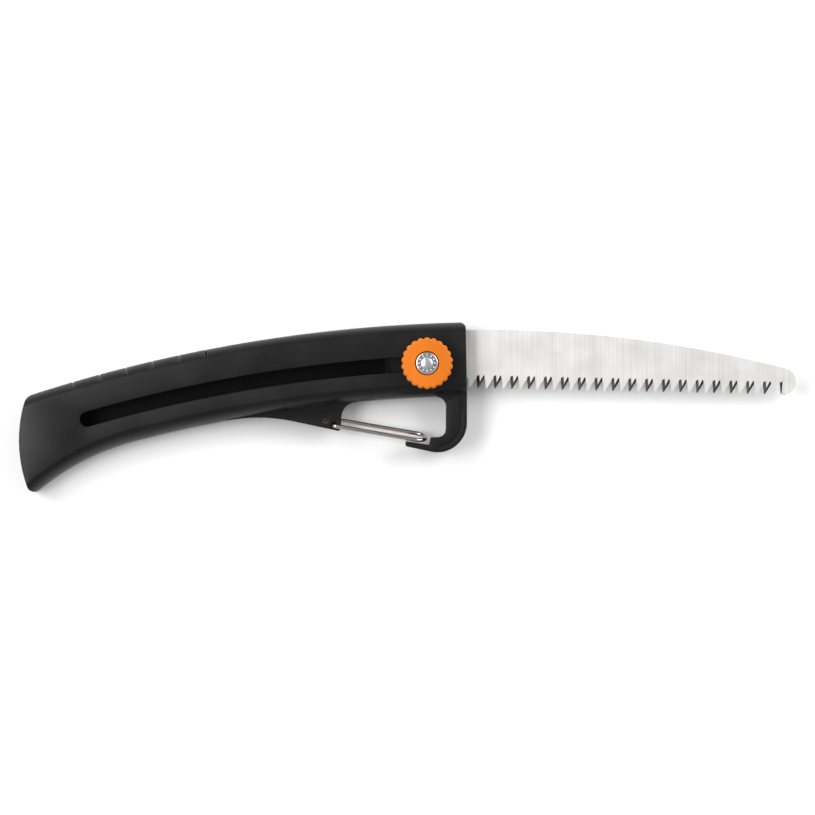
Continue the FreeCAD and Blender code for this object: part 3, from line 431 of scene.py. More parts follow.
def set_out_tree():
    """Copies of one piece on every point of the object, stretched upwards by its own attribute."""
    tree, given, result = new_tree("set out on points", ("Piece", "Object"),
                                   ("Material", "Material"))
    points, piece, material = given.outputs[:3]
    info = add(tree, "GeometryNodeObjectInfo", {"transform_space": "ORIGINAL"}, i0=piece)
    stretch = add(tree, "GeometryNodeInputNamedAttribute", {"data_type": "FLOAT"}, i0="stretch")
    scale = add(tree, "ShaderNodeCombineXYZ", i0=1.0, i1=1.0,
                i2=live(stretch.outputs, "VALUE")).outputs[0]
    placed = add(tree, "GeometryNodeInstanceOnPoints")
    tree.links.new(points, placed.inputs["Points"])
    tree.links.new(info.outputs["Geometry"], placed.inputs["Instance"])
    tree.links.new(scale, placed.inputs["Scale"])
    end_tree(tree, placed.outputs[0], material, result)
    return tree


def points_object(name, places, stretches=None):
    """Points to set pieces out on, each with its own upward stretch."""
    made = mesh_object(name, [Vector(p) * MM for p in places])
    held = made.data.attributes.new("stretch", "FLOAT", "POINT")
    for number, value in enumerate(stretches or [1.0] * len(places)):
        held.data[number].value = value
    return made


round_bar, set_out = bar_tree(), set_out_tree()
print("bar and setting-out trees ready")

# %% [markdown]
# ## Clamp knob
# A moulded orange disc with twenty-two shallow scallops for the thumb and finger, a rounded upper
# edge and a round pocket for the bolt's head. A profile turned on the lathe tree, with the
# scallops as a wave on its rim, gives both the round edge and the lobes in one clean skin.

# %% Knob
KNOB_R, KNOB_DIP, KNOB_LOW, KNOB_TOP = 12.65, 0.8, 22.4, 31.0
KNOB_EDGE, POCKET_R, POCKET_FLOOR, WASHER_POCKET_R, WASHER_ROOF = 1.4, 5.9, 28.1, 8.9, 23.5
BORE_R, FOOT_EDGE, POCKET_EDGE, FLAT_R = 3.3, 0.5, 0.3, 9.0
LOBES, STEPS_PER_LOBE = 22, 14
LOBE_START, LOBE_FULL = 2.2, 0.2            # in from the rim: where a scallop starts, and is full
knob_corners = ([(BORE_R, WASHER_ROOF), (WASHER_POCKET_R, WASHER_ROOF),
                 (WASHER_POCKET_R, KNOB_LOW)]
                + quarter(KNOB_R - FOOT_EDGE, KNOB_LOW + FOOT_EDGE, FOOT_EDGE, -90, 0, 4)
                + quarter(KNOB_R - KNOB_EDGE, KNOB_TOP - KNOB_EDGE, KNOB_EDGE, 0, 90, 8)
                + [(FLAT_R, KNOB_TOP), (POCKET_R + 2 * POCKET_EDGE, KNOB_TOP)]
                + quarter(POCKET_R + POCKET_EDGE, KNOB_TOP - POCKET_EDGE, POCKET_EDGE, 90, 180, 3)
                + [(POCKET_R, POCKET_FLOOR), (BORE_R, POCKET_FLOOR)])
knob = turned("scalloped_knob", knob_corners, LOBES * STEPS_PER_LOBE, knob_plastic, lobes=LOBES,
              lobe_depth=KNOB_DIP * MM, lobe_from=(KNOB_R - LOBE_START) * MM,
              lobe_to=(KNOB_R - LOBE_FULL) * MM)
smooth_by_angle(knob, 40)
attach(knob, "clamp_knob")
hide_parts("knob")
print("knob faces:", len(knob.data.polygons), "open edges:", open_edges(knob))

# %% [markdown]
# ## Clamp bolt
# A plated M5 bolt sits in the knob's pocket: a bright rim, a sunken ring and a low dome. Its
# shank runs down through the slot to the nut. Twelve plain studs stand in the ring, set out on
# points, and its floor is etched dark. The thread is turned as a row of V rings.

# %% Bolt
HEAD_R, HEAD_LOW, HEAD_TOP, HEAD_EDGE, DOME_R, DOME_H = 5.5, 28.1, 30.7, 0.6, 2.9, 0.5
SHANK_R, SHANK_LOW, SHANK_EDGE, COLLAR_R, COLLAR_LOW = 2.5, 3.05, 0.3, 3.2, 25.9
STOP_GROOVE_R, STOP_GROOVE_LOW, STOP_GROOVE_TOP = 2.0, 3.65, 4.25
THREAD_PITCH, THREAD_ROOT_R, THREAD_LOW, THREAD_TOP, THREAD_TURNS = 0.8, 2.12, 4.6, 14.2, 12
RING_IN, RING_OUT, RING_SLOPE, RING_SINK = 3.15, 4.55, 0.17, 0.22
dome_r = (DOME_R ** 2 + DOME_H ** 2) / (2 * DOME_H)
dome_end = math.degrees(math.acos(DOME_R / dome_r))
bolt_corners = [(0.0, SHANK_LOW), (SHANK_R - SHANK_EDGE, SHANK_LOW),
                (SHANK_R, SHANK_LOW + SHANK_EDGE), (SHANK_R, STOP_GROOVE_LOW),
                (STOP_GROOVE_R, STOP_GROOVE_LOW), (STOP_GROOVE_R, STOP_GROOVE_TOP),
                (SHANK_R, STOP_GROOVE_TOP)]
for turn_number in range(THREAD_TURNS):
    crest = THREAD_LOW + THREAD_PITCH * turn_number
    bolt_corners += [(SHANK_R, crest), (THREAD_ROOT_R, crest + THREAD_PITCH / 2)]
bolt_corners += [(SHANK_R, THREAD_TOP), (SHANK_R, COLLAR_LOW), (COLLAR_R, COLLAR_LOW),
                 (COLLAR_R, HEAD_LOW), (HEAD_R, HEAD_LOW)]
bolt_corners += quarter(HEAD_R - HEAD_EDGE, HEAD_TOP - HEAD_EDGE, HEAD_EDGE, 0, 90, 6)
bolt_corners += [(RING_OUT + RING_SLOPE, HEAD_TOP), (RING_OUT, HEAD_TOP - RING_SINK),
                 (RING_IN, HEAD_TOP - RING_SINK), (RING_IN - RING_SLOPE, HEAD_TOP)]
bolt_corners += quarter(0, HEAD_TOP + DOME_H - dome_r, dome_r, dome_end, 90, 8)
bolt = turned("domed_clamp_bolt", bolt_corners, 96, bolt_steel)
bolt.data.materials.append(etched_steel)
for polygon in bolt.data.polygons:
    reach, height = math.hypot(*polygon.center[:2]) / MM, polygon.center.z / MM
    if RING_IN < reach < RING_OUT and height > HEAD_TOP - 2 * RING_SINK:
        polygon.material_index = len(bolt.data.materials) - 1       # floor of the sunken ring
smooth_by_angle(bolt, 30)
RING_MIDDLE, STUD_EVERY = (RING_IN + RING_OUT) / 2, 30               # the second in degrees
stud_places = [(RING_MIDDLE * math.cos(math.radians(angle)),
                RING_MIDDLE * math.sin(math.radians(angle)), HEAD_TOP - RING_SINK)
               for angle in range(0, 360, STUD_EVERY)]
stud_corners = [(0.0, -0.1), (0.42, -0.1), (0.42, 0.02), (0.3, 0.14), (0.0, 0.18)]
stud = turned("one_stud", stud_corners, 16, bolt_steel)
studs = bake(points_object("bolt_head_studs", stud_places), set_out, piece=stud,
             material=bolt_steel)
smooth_by_angle(studs, 50)
discard(stud)
for made in (bolt, studs):
    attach(made, "clamp_knob")
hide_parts("clamp_bolt")
print("bolt faces:", len(bolt.data.polygons), "open edges:", open_edges(bolt))

# %% [markdown]
# ## Wire gate
# One length of 2 mm wire: a leg on each side of the fin, joined by a round bend at the nose, with
# both ends bent in to sit in holes. A bar drawn along a rounded path is how a bender makes it,
# and it keeps the wire's section round all the way. The cut end that shows in its hole takes
# the dark steel as painted shade.

# %% Gate
PIVOT, GATE_FALL, GATE_LENGTH = Vector((-47.8, -29.4, 0)), math.radians(9.7), 48.5
WIRE_R, END_ALONG, END_ACROSS, SPREAD, JOG = 1.0, 2.25, 0.8, 3.2, 6.0
FIN_HALF, WIRE_GAP, END_BEND_R = 3.5, 0.2, 1.5
NEAR_TIP, FAR_TIP = 0.8, -0.7               # heights of the wire's two ends over the middle


def rounded_path(points, radii, steps=10):
    """Straight runs with a rounding at each inner corner."""
    path = [points[0]]
    for i, radius in enumerate(radii, 1):
        corner = points[i]
        before, after = (points[i - 1] - corner).normalized(), (points[i + 1] - corner).normalized()
        half = before.angle(after) / 2
        first = corner + before * (radius / math.tan(half))
        centre = corner + (before + after).normalized() * (radius / math.sin(half))
        arm_a, arm_b = first - centre, corner + after * (radius / math.tan(half)) - centre
        sweep = arm_a.angle(arm_b)
        side = (arm_b - arm_a * (arm_b.dot(arm_a) / arm_a.length_squared)).normalized() * radius
        path += [centre + arm_a * math.cos(sweep * k / steps) + side * math.sin(sweep * k / steps)
                 for k in range(steps + 1)]
    return path + [points[-1]]


along = Vector((math.cos(GATE_FALL), -math.sin(GATE_FALL), 0))
across = Vector((-along.y, along.x, 0))
leg_height = FIN_HALF + WIRE_GAP + WIRE_R
up = Vector((0, 0, 1))
near_end = PIVOT + along * END_ALONG - across * END_ACROSS
far_end = PIVOT - along * END_ALONG + across * END_ACROSS
turn_point = PIVOT + along * (GATE_LENGTH - WIRE_R)
near_bend = turn_point - across * END_ACROSS + up * (MID + leg_height)
far_bend = turn_point + across * (SPREAD - END_ACROSS) + up * (MID - leg_height)
jog_point = PIVOT + along * JOG + across * (SPREAD - END_ACROSS) + up * (MID - leg_height)
bend_r = 0.999 * math.hypot(leg_height, SPREAD / 2)     # a hair under half, so the bends don't meet
wire_path = rounded_path(
    [near_end + up * (MID + NEAR_TIP), near_end + up * (MID + leg_height), near_bend, far_bend,
     jog_point, far_end + up * (MID - leg_height), far_end + up * (MID + FAR_TIP)],
    [END_BEND_R, bend_r, bend_r, JOG, END_BEND_R])
gate = bake(mesh_object("bent_wire_gate", [p * MM for p in wire_path],
                        [(i, i + 1) for i in range(len(wire_path) - 1)]),
            round_bar, radius=WIRE_R * MM, sides=24, material=gate_steel)
# painted shade: the wire's cut end, down in its hole, takes the dark steel
gate.data.materials.append(bevel_steel)
for polygon in gate.data.polygons:
    if polygon.normal.z > 0.9 and abs(polygon.center.z / MM - wire_path[-1].z) < 0.1:
        polygon.material_index = len(gate.data.materials) - 1       # the cut end in its hole
smooth_by_angle(gate, 50)
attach(gate, "gate")
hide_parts("wire_gate")
print("gate faces:", len(gate.data.polygons), "open edges:", open_edges(gate))

# %% [markdown]
# ## Shell screws
# Five pan-head screws go in from the back, their heads sunk in counterbores. They differ only in
# the length of the shank, so one head and one unit shank are set out on the five places, and each
# place stretches its own shank. The cross recess is cut by two crossing slabs.

# %% Screws
SCREW_R, SCREW_HEAD_R, SCREW_HEAD_T, SCREW_EDGE = 1.45, 2.6, 1.6, 0.6
CROSS_LENGTH, CROSS_WIDTH, CROSS_DEPTH = 3.0, 0.7, 1.0
# each screw's place in plan, the height of its head's seat and the height of its tip
screw_places = [((14.4, -19.6), 6.9, 15.4), ((12.6, -33.6), 6.9, 15.4), ((-56.6, -26.6), 9.1, 13.9),
                ((-194.6, -22.6), 8.0, 19.0), ((-192.2, -57.2), 8.0, 19.0)]


def crossed_head_tree():
    """Cuts a cross recess into a head whose outer face points down."""
    tree, given, result = new_tree("crossed head", ("Length", "Float"), ("Width", "Float"),
                                   ("Depth", "Float"), ("Material", "Material"))
    head, length, width, depth, material = given.outputs[:5]
    slabs = []
    for x, y in ((length, width), (width, length)):
        size = add(tree, "ShaderNodeCombineXYZ", i0=x, i1=y,
                   i2=math_node(tree, "MULTIPLY", depth, 2.0)).outputs[0]
        slab = add(tree, "GeometryNodeMeshCube", i0=size).outputs[0]
        slabs.append(add(tree, "GeometryNodeTransform", i0=slab).outputs[0])
        tree.nodes[-1].inputs["Translation"].default_value = (0, 0, -SCREW_HEAD_T * MM)
    cut = add(tree, "GeometryNodeMeshBoolean", {"operation": "DIFFERENCE", "solver": "EXACT"})
    tree.links.new(head, cut.inputs[0])
    for slab in slabs:
        tree.links.new(slab, cut.inputs[1])
    end_tree(tree, cut.outputs[0], material, result)
    return tree


head_corners = [(0.0, -SCREW_HEAD_T)]
head_corners += quarter(SCREW_HEAD_R - SCREW_EDGE, SCREW_EDGE - SCREW_HEAD_T, SCREW_EDGE, -90, 0, 5)
head_corners += [(SCREW_HEAD_R, 0.0), (0.0, 0.0)]
screw_head = turned("one_screw_head", head_corners, 48, screw_steel)
bake(screw_head, crossed_head_tree(), length=CROSS_LENGTH * MM, width=CROSS_WIDTH * MM,
     depth=CROSS_DEPTH * MM, material=screw_steel)
# a shank of unit height, to be stretched; it starts just inside the head
shank_corners = [(0.0, -0.01), (SCREW_R, -0.01), (SCREW_R, 0.93), (0.5, 1.0), (0.0, 1.0)]
screw_shank = turned("one_screw_shank", shank_corners, 24, screw_steel)
head_points = points_object("shell_screw_heads", [(*xy, seat) for xy, seat, tip in screw_places])
shank_points = points_object("shell_screw_shanks", [(*xy, seat) for xy, seat, tip in screw_places],
                             [tip - seat for xy, seat, tip in screw_places])
heads = bake(head_points, set_out, piece=screw_head, material=screw_steel)
shanks = bake(shank_points, set_out, piece=screw_shank, material=screw_steel)
discard(screw_head, screw_shank)
for made in (heads, shanks):
    smooth_by_angle(made, 35)
    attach(made, "handle")
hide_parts(*["shell_screw_%d" % n for n in range(1, 6)])
print("screw head faces:", len(heads.data.polygons), "open edges:", open_edges(heads))

# %% [markdown]
# ## Carriage rivets
# Four rivets hold the two carriage halves to the blade. One turned rivet, a shank with a low
# domed head at each end, is set out on the four places of the carriage.

# %% Rivets
RIVET_LOW, RIVET_R, RIVET_HEAD_R, RIVET_HEAD_T = 3.7, 1.5, 2.2, 0.9
RIVET_RIM_T, RIVET_CROWN_R, RIVET_CROWN_T = 0.35, 1.6, 0.1
RIVET_STATION, RIVET_OFFSET = 8.4, 5.6
rivet_high = HANDLE_T - RIVET_LOW
rivet_corners = [(0.0, RIVET_LOW - RIVET_HEAD_T),
                 (RIVET_CROWN_R, RIVET_LOW - RIVET_HEAD_T + RIVET_CROWN_T),
                 (RIVET_HEAD_R, RIVET_LOW - RIVET_RIM_T), (RIVET_HEAD_R, RIVET_LOW),
                 (RIVET_R, RIVET_LOW), (RIVET_R, rivet_high), (RIVET_HEAD_R, rivet_high),
                 (RIVET_HEAD_R, rivet_high + RIVET_RIM_T),
                 (RIVET_CROWN_R, rivet_high + RIVET_HEAD_T - RIVET_CROWN_T),
                 (0.0, rivet_high + RIVET_HEAD_T)]
one_rivet = turned("one_rivet", rivet_corners, 32, rivet_metal)
rivet_places = [at(station, offset) for station in (-RIVET_STATION, RIVET_STATION)
                for offset in (RIVET_OFFSET, -RIVET_OFFSET)]
rivets = bake(points_object("carriage_rivets", rivet_places), set_out, piece=one_rivet,
              material=rivet_metal)
discard(one_rivet)
smooth_by_angle(rivets, 35)
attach(rivets, "blade_carriage")
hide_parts(*["carrier_rivet_%d" % n for n in range(1, 5)])
print("rivet faces:", len(rivets.data.polygons), "open edges:", open_edges(rivets))

# %% [markdown]
# ## Blade
# A 1.2 mm steel plate with a curved back and a straight row of thirty-eight tall teeth. Every
# second tooth is ground from the upper face and the ones between from the lower face, so each
# side shows V-shaped bevels on alternate teeth, coloured dark brown as painted shade. A pair of
# teeth, one of each kind, is made once and set out eighteen times along the tooth line. It has
# the plate's thickness and open ends, so the pairs weld to each other and to the plate. The last
# pair, by the round nose, is part of the plate.

# %% A pair of teeth
BLADE_T, PITCH, DEPTH, TEETH = 1.2, 4.135, 4.6, 38
FLANK, GULLET, TIP_FLAT = 0.11 * PITCH, 0.09 * PITCH, 0.14 * PITCH
STRIP = 7.4                                     # from the tips to where a pair welds to the plate
STEEP_BEVEL = [(-0.50, 5.85), (0.80, 6.5)]      # top of the steep flank's bevel, from the tip
V_POINT = (1.17, 3.0)                           # where the two bevels meet
LEAN_BEVEL = [(2.85, 6.45), (3.42, 5.85)]       # top of the slanting flank's bevel
HALF_T = BLADE_T / 2
RISE = PITCH - FLANK - GULLET


def tooth_edge(shift, whole=True):
    """A tooth's plain edge from left to right: gullet, tip, tip, gullet."""
    corners = [(shift - FLANK, DEPTH), (shift, 0.0), (shift + TIP_FLAT, 0.0)]
    return corners + ([(shift + RISE, DEPTH)] if whole else [])


def bevelled_edge(shift):
    """The edge of the flat face on the side that is ground: it steps in round the two bevels."""
    inner = STEEP_BEVEL + [V_POINT] + LEAN_BEVEL
    return [(shift - FLANK, DEPTH)] + [(shift + s, t) for s, t in inner] + [(shift + RISE, DEPTH)]


class ToothFaces:
    """Gathers the faces of a toothed strip on tooth coordinates: along, up and height."""

    def __init__(self):
        self.points, self.faces, self.ground = [], [], []

    def face(self, corners, ground=False):
        first = len(self.points)
        self.points += corners
        self.faces.append(range(first, first + len(corners)))
        self.ground.append(ground)

    def wall(self, edge):
        """Upright faces under an edge that both sides share."""
        for (s, t), (u, v) in zip(edge, edge[1:]):
            self.face([(s, t, HALF_T), (s, t, -HALF_T), (u, v, -HALF_T), (u, v, HALF_T)])

    def tooth(self, shift, side, whole=True):
        """Walls and bevels of a tooth that is ground on one side (+1 upper face, -1 lower)."""
        near, far = side * HALF_T, -side * HALF_T
        steep = [(shift + s, t, near) for s, t in STEEP_BEVEL]
        point = (shift + V_POINT[0], V_POINT[1], near)
        lean = [(shift + s, t, near) for s, t in LEAN_BEVEL]
        root = (shift - FLANK, DEPTH)
        tip, tip_end, rise = (shift, 0.0, far), (shift + TIP_FLAT, 0.0, far), (shift + RISE, DEPTH)
        self.face([(*root, near), (*root, far), steep[0]], True)
        self.face([steep[0], (*root, far), tip, point, steep[1]], True)
        if whole:
            self.face([tip, tip_end, point], True)
            self.face([point, tip_end, (*rise, far), lean[1], lean[0]], True)
            self.face([(*rise, far), (*rise, near), lean[1]], True)


start = -FLANK - GULLET / 2
pair = ToothFaces()
upper = [(start, DEPTH)] + tooth_edge(0) + bevelled_edge(PITCH) + [(start + 2 * PITCH, DEPTH)]
lower = [(start, DEPTH)] + bevelled_edge(0) + tooth_edge(PITCH) + [(start + 2 * PITCH, DEPTH)]
top_line = [(start + 2 * PITCH, STRIP), (start, STRIP)]
pair.face([(s, t, HALF_T) for s, t in upper + top_line])
pair.face([(s, t, -HALF_T) for s, t in lower + top_line])
pair.tooth(0, -1)
pair.tooth(PITCH, +1)
for left, right in ((start, -FLANK), (RISE, PITCH - FLANK), (PITCH + RISE, start + 2 * PITCH)):
    pair.wall([(left, DEPTH), (right, DEPTH)])
print("a pair of teeth has", len(pair.faces), "faces")

# %% The plate behind the teeth
TOOTH_FALL = math.radians(1.24)
BACK_R, BACK_OFFSET, NOSE_R, NOSE_PAST, NOSE_TURN = 588.0, 15.85, 6.7, 0.4, math.radians(-72)
BACK_FROM, HEEL, TANG_TAIL, TANG_LOW, TAIL_CUT = 10.0, 15.3, -18.8, -8.5, (5.0, 4.0)
LAST_BEVEL = 1.2                                # the last tooth's bevel ends this far from its tip
tooth_along = Vector((math.cos(TOOTH_FALL), -math.sin(TOOTH_FALL), 0))
tooth_inward = Vector((math.sin(TOOTH_FALL), math.cos(TOOTH_FALL), 0))
first_tip = Vector((20.6, -11.9, 0))
SET_PAIRS = TEETH // 2 - 1


def on_blade(s, t, z=0.0):
    """Tooth coordinates to the saw's own, in millimetres."""
    return first_tip + tooth_along * s + tooth_inward * t + Vector((0, 0, MID + z))


back_centre = at(BACK_FROM, BACK_OFFSET - BACK_R)
last_tip = first_tip + tooth_along * (PITCH * (TEETH - 1))
level = last_tip.y + NOSE_R - NOSE_PAST
reach = math.sqrt((BACK_R - NOSE_R) ** 2 - (level - back_centre.y) ** 2)
nose_centre = Vector((back_centre.x + reach, level, 0))
back_end = nose_centre + (nose_centre - back_centre).normalized() * NOSE_R
nose_low = nose_centre + Vector((math.cos(NOSE_TURN), math.sin(NOSE_TURN), 0)) * NOSE_R
nose_mid = nose_centre + Vector((NOSE_R, 0, 0))
# the rim runs from the heel along the tang's lower edge and tail, over the back and round the nose
rim = arc_points(ARC_CENTRE, at(HEEL, TANG_LOW), at(TANG_TAIL, TANG_LOW), 18)
rim += [at(TANG_TAIL, BACK_OFFSET - TAIL_CUT[1])]
back_start = at(BACK_FROM, BACK_OFFSET)
rim += arc_points(ARC_CENTRE, at(TANG_TAIL + TAIL_CUT[0], BACK_OFFSET), back_start, 12)
rim += arc_points(back_centre, back_start, back_end, 90)[1:]
rim += arc_points(nose_centre, back_end, nose_mid, 12)[1:]
rim += arc_points(nose_centre, nose_mid, nose_low, 16)[1:]
end_shift = SET_PAIRS * 2 * PITCH
weld = [(start + 2 * PITCH * n, STRIP) for n in range(SET_PAIRS + 1)]
last_gullet = (end_shift + start, DEPTH)
last_plain = [(end_shift + RISE, DEPTH), (end_shift + PITCH - FLANK, DEPTH)]
last_shift = end_shift + PITCH
upper_end = [last_gullet] + tooth_edge(end_shift) + [last_plain[1]] + [
    (last_shift + s, t) for s, t in STEEP_BEVEL] + [(last_shift + TIP_FLAT, LAST_BEVEL)]
lower_end = [last_gullet] + bevelled_edge(end_shift) + [last_plain[1], (last_shift, 0.0),
                                                        (last_shift + TIP_FLAT, 0.0)]
print("plate rim has", len(rim), "points; nose centre, mm:", [round(c, 1) for c in nose_centre])

# %% Weld the plate and the teeth
UPPER, LOWER = Vector((0, 0, MID + HALF_T)), Vector((0, 0, MID - HALF_T))     # the plate's faces
work = bmesh.new()
plate_ground = []


def blade_face(corners, ground=False):
    """A face of the plate, and whether it is ground."""
    work.faces.new([work.verts.new(p * MM) for p in corners])
    plate_ground.append(ground)


for side, height, ending in ((HALF_T, UPPER, upper_end), (-HALF_T, LOWER, lower_end)):
    outline = [on_blade(s, t, side) for s, t in weld] + [on_blade(s, t, side) for s, t in ending]
    outline += [p + height for p in reversed(rim)]
    outline += [on_blade(start, DEPTH, side)]
    blade_face(outline)
for a, b in zip(rim, rim[1:]):
    blade_face([a + UPPER, a + LOWER, b + LOWER, b + UPPER])
blade_face([on_blade(start, DEPTH, HALF_T), on_blade(start, DEPTH, -HALF_T), rim[0] + LOWER,
            rim[0] + UPPER])
end_teeth = ToothFaces()
end_teeth.tooth(end_shift, -1)
end_teeth.wall([last_gullet, (end_shift - FLANK, DEPTH)])
end_teeth.wall(last_plain)
root = (last_shift - FLANK, DEPTH)
bevel_top = [(last_shift + s, t, HALF_T) for s, t in STEEP_BEVEL]
bevel_foot = (last_shift + TIP_FLAT, LAST_BEVEL, HALF_T)
last_tip_face = [(last_shift, 0.0, -HALF_T), (last_shift + TIP_FLAT, 0.0, -HALF_T)]
end_teeth.face([(*root, HALF_T), (*root, -HALF_T), bevel_top[0]], True)
end_teeth.face([bevel_top[0], (*root, -HALF_T), last_tip_face[0], bevel_foot, bevel_top[1]], True)
end_teeth.face(last_tip_face + [bevel_foot])
for number, corners in enumerate(end_teeth.faces):
    blade_face([on_blade(*end_teeth.points[i]) for i in corners], end_teeth.ground[number])
blade_face([on_blade(*bevel_foot), on_blade(*last_tip_face[1]), rim[-1] + LOWER, rim[-1] + UPPER])
blade = mesh_object("toothed_blade", [])
work.to_mesh(blade.data)
work.free()
pair_object = mesh_object("tooth_pair", [Vector(p) * MM for p in pair.points], (), pair.faces)
print("plate faces:", len(blade.data.polygons))

# %% The tooth row tree
def tooth_row_tree():
    """Sets tooth pairs out in a straight row, joins the plate and gives the two finishes: plain
    steel, and painted shade steel on the ground faces.
    """
    tree, given, result = new_tree("tooth row", ("Pair", "Object"), ("Pairs", "Int"),
                                   ("Spacing", "Float"), ("Start", "Vector"), ("Fall", "Float"),
                                   ("Steel", "Material"), ("Bevel Steel", "Material"))
    plate_in, one, count, spacing, origin, fall, steel, dark = given.outputs[:8]
    info = add(tree, "GeometryNodeObjectInfo", {"transform_space": "ORIGINAL"}, i0=one)
    step = add(tree, "ShaderNodeCombineXYZ", i0=spacing, i1=0.0, i2=0.0).outputs[0]
    row = add(tree, "GeometryNodeMeshLine", {"mode": "OFFSET"})
    tree.links.new(count, row.inputs["Count"])
    tree.links.new(step, row.inputs["Offset"])
    placed = add(tree, "GeometryNodeInstanceOnPoints")
    tree.links.new(row.outputs[0], placed.inputs["Points"])
    tree.links.new(info.outputs["Geometry"], placed.inputs["Instance"])
    moved = add(tree, "GeometryNodeTransform")
    turn = add(tree, "ShaderNodeCombineXYZ", i0=0.0, i1=0.0,
               i2=math_node(tree, "MULTIPLY", fall, -1.0))
    tree.links.new(placed.outputs[0], moved.inputs["Geometry"])
    tree.links.new(origin, moved.inputs["Translation"])
    tree.links.new(turn.outputs[0], moved.inputs["Rotation"])
    real = add(tree, "GeometryNodeRealizeInstances", i0=moved.outputs[0]).outputs[0]
    joined = add(tree, "GeometryNodeJoinGeometry")
    tree.links.new(plate_in, joined.inputs[0])
    tree.links.new(real, joined.inputs[0])
    plain = add(tree, "GeometryNodeSetMaterial", i0=joined.outputs[0], i2=steel).outputs[0]
    # the ground faces take the dark painted shade steel
    ground = add(tree, "GeometryNodeInputNamedAttribute", {"data_type": "BOOLEAN"}, i0="ground")
    last = add(tree, "GeometryNodeSetMaterial", i0=plain, i2=dark)
    tree.links.new(live(ground.outputs, "BOOLEAN"), last.inputs["Selection"])
    tree.links.new(last.outputs[0], result.inputs[0])
    return tree


def mark_ground(made, flags):
    """Keeps which faces are ground as an attribute that the tree reads."""
    held = made.data.attributes.new("ground", "BOOLEAN", "FACE")
    held.data.foreach_set("value", flags)


# the ground faces are the ones that take the painted shade steel
mark_ground(pair_object, pair.ground)
mark_ground(blade, plate_ground)
row_start = first_tip * MM + Vector((0, 0, MID * MM))
bake(blade, tooth_row_tree(), pair=pair_object, pairs=SET_PAIRS, spacing=2 * PITCH * MM,
     start=row_start, fall=TOOTH_FALL, steel=blade_steel, bevel_steel=bevel_steel)
discard(pair_object)
tidy(blade, 10 * WELD)
smooth_by_angle(blade, 12)
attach(blade, "blade_carriage")
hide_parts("blade")
print("blade faces:", len(blade.data.polygons), "open edges:", open_edges(blade))

# %% [markdown]
# ## Handle shells
# Each shell is one moulding with the hook and fin on it, and every outer edge is broken by a small
# round. The dimensioned shells already hold the true shape, slot and grooves, so a welded
# copy of each is taken, its flat faces are made whole again, and its outer corners are beveled.
# Among the finger grooves only the joint line is beveled, because a bevel would widen their thin
# V. The channel that the blade slides in gets a darker plastic, as painted shade in the slot.

# %% Shells
EDGE_ROUND, EDGE_ANGLE, SMOOTH_ANGLE = 0.3, math.radians(28), 21    # the last in degrees
FLAT_ANGLE = math.radians(0.01)                 # faces that meet at less than this become one
CAVITY_STATIONS, CAVITY_OFFSET, CAVITY_HEIGHTS = (-187.0, 24.0), 9.5, (1.6, 20.4)
GRIP_STATIONS, GRIP_OFFSET = (-176.0, -101.0), 14.7                 # where the finger grooves are


def plan_place(point):
    """Station and offset of a point, in millimetres."""
    reach = Vector((point.x / MM, point.y / MM, 0)) - ARC_CENTRE
    return (math.pi / 2 + LEAN - math.atan2(reach.y, reach.x)) * ARC_R, reach.length - ARC_R


def to_round(edge):
    """Outer corners and the joint line are rounded; the finger grooves keep their crisp V."""
    if len(edge.link_faces) != 2 or not edge.is_convex or edge.calc_face_angle(0) < EDGE_ANGLE:
        return False
    station, offset = plan_place((edge.verts[0].co + edge.verts[1].co) / 2)
    on_joint = all(abs(vert.co.z / MM - MID) < 0.02 for vert in edge.verts)
    grip = GRIP_STATIONS[0] < station < GRIP_STATIONS[1] and offset > GRIP_OFFSET
    return on_joint or not grip


def rounded_shell(name, node):
    """A welded copy of a shell with its sharp outer edges rounded over."""
    made = bpy.data.objects.new(name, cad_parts[node].data.copy())
    bpy.context.scene.collection.objects.link(made)
    made.data.materials.clear()
    made.data.materials.append(shell_plastic)
    tidy(made)
    welded = bmesh.new()
    welded.from_mesh(made.data)
    bmesh.ops.dissolve_limit(welded, angle_limit=FLAT_ANGLE, verts=welded.verts,
                             edges=welded.edges)
    sharp = [edge for edge in welded.edges if to_round(edge)]
    bmesh.ops.bevel(welded, geom=sharp, offset=EDGE_ROUND * MM, offset_type="OFFSET", segments=3,
                    profile=0.5, affect="EDGES", clamp_overlap=False, miter_outer="ARC")
    welded.to_mesh(made.data)
    welded.free()
    # faces of the channel inside the shell get the darker plastic: painted shade down the slot
    made.data.materials.append(slot_shade_plastic)
    for polygon in made.data.polygons:
        station, offset = plan_place(polygon.center)
        if (CAVITY_STATIONS[0] < station < CAVITY_STATIONS[1] and abs(offset) < CAVITY_OFFSET
                and CAVITY_HEIGHTS[0] < polygon.center.z / MM < CAVITY_HEIGHTS[1]):
            polygon.material_index = len(made.data.materials) - 1
    smooth_by_angle(made, SMOOTH_ANGLE)
    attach(made, "handle")
    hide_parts(node)
    print(name, "rounded", len(sharp), "edges; faces:", len(made.data.polygons),
          "open edges:", open_edges(made))


rounded_shell("upper_handle_shell", "knob_side_shell")
rounded_shell("lower_handle_shell", "back_shell")

# %% [markdown]
# ## Pieces that keep their dimensioned shape
# The carriage halves, washers, nut and stop ring are plain pieces that hardly show. They are
# already the right shape, so they only take their finish.

# %% Finish the plain pieces
plain_pieces = {"guide_shoe": carriage_plastic, "blade_carrier": carriage_plastic,
                "clamp_nut": zinc_steel, "thrust_washer": zinc_steel, "spring_washer": zinc_steel,
                "bolt_stop_ring": zinc_steel}
for node_name, material in plain_pieces.items():
    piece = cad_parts[node_name]
    piece.data.materials.clear()
    piece.data.materials.append(material)
print("finished in place:", ", ".join(plain_pieces))

# %% [markdown]
# ## Studio
# The saw lies on a pale floor under large soft lights, as in a catalogue tent. A small light near
# the tail gives the black plastic its fall of sheen towards the knob. Two broad ones, set off to
# the sides so that they don't mirror in the flat faces, and the tent's own glow do the rest.

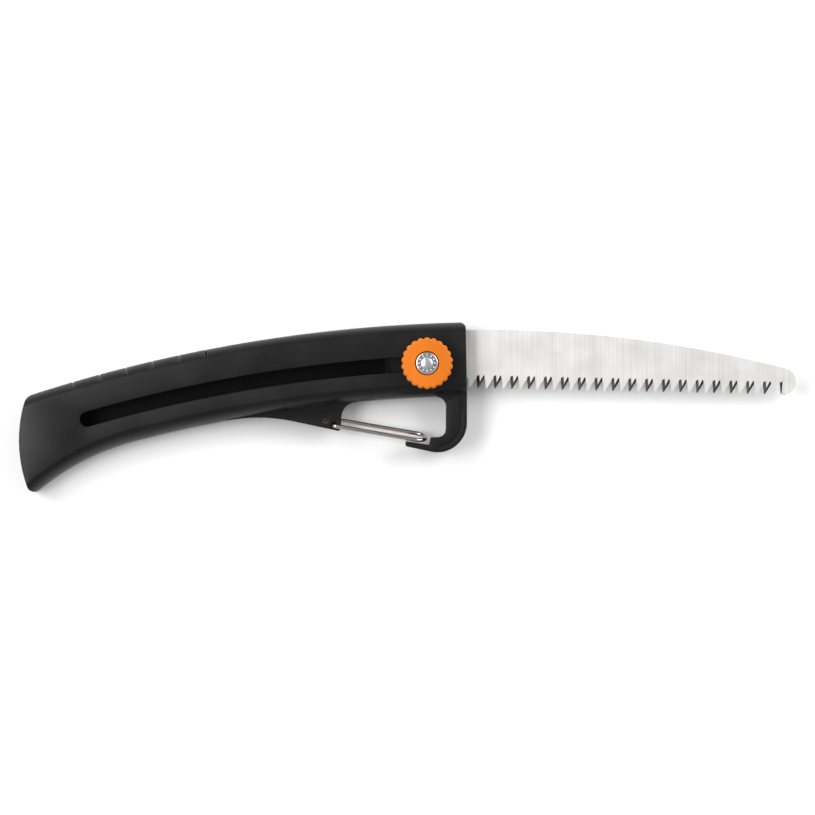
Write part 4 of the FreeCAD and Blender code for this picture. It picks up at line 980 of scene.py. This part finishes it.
# %% Floor and lights
FLOOR_HALF, FLOOR_DROP = 4.0, 0.0001            # metres; the drop keeps it off the saw's face
floor_corners = [(x * FLOOR_HALF, y * FLOOR_HALF, -FLOOR_DROP)
                 for x, y in ((-1, -1), (1, -1), (1, 1), (-1, 1))]
floor = mesh_object("studio_floor", floor_corners, (), [(0, 1, 2, 3)])
floor.data.materials.append(new_finish("pale floor", (0.86, 0.86, 0.86), 0.7, specular=0.2))


def soft_light(name, place, size, watts):
    """A square soft box that looks at the saw."""
    data = bpy.data.lights.new(name, "AREA")
    data.shape, data.size, data.energy = "SQUARE", size, watts
    made = bpy.data.objects.new(name, data)
    bpy.context.scene.collection.objects.link(made)
    made.location = place
    made.rotation_euler = (-Vector(place)).to_track_quat("-Z", "Y").to_euler()
    return made


soft_light("tail_soft_box", (-0.85, 0.62, 0.85), 0.9, 11)
soft_light("tip_soft_box", (0.95, 0.50, 0.80), 0.9, 14)
soft_light("tail_glow_box", (-0.56, -0.02, 0.86), 0.4, 4.2)
world = bpy.data.worlds.new("studio tent")
world.use_nodes = True
world.node_tree.nodes["Background"].inputs["Color"].default_value = (1, 1, 1, 1)
world.node_tree.nodes["Background"].inputs["Strength"].default_value = 0.42
bpy.context.scene.world = world
bpy.context.scene.view_settings.view_transform = "Standard"

# %% [markdown]
# ## Camera
# A long lens straight above keeps the plan true, with almost no perspective. The view is centred
# between the tail and the tip.

# %% Camera
VIEW_CENTRE, VIEW_WIDTH, CAMERA_HEIGHT = Vector((-9.57, -21.6, 0)), 400.0, 4000.0
SENSOR_WIDTH, FAR_LIMIT = 36.0, 50              # millimetres, metres
camera_data = bpy.data.cameras.new("long lens")
camera_data.sensor_width = SENSOR_WIDTH
camera_data.lens = SENSOR_WIDTH * (CAMERA_HEIGHT - MID) / VIEW_WIDTH
camera = bpy.data.objects.new("overhead camera", camera_data)
bpy.context.scene.collection.objects.link(camera)
camera.location = (VIEW_CENTRE + Vector((0, 0, CAMERA_HEIGHT))) * MM
camera_data.clip_end = FAR_LIMIT
bpy.context.scene.camera = camera
print("lens, mm:", round(camera_data.lens, 1))
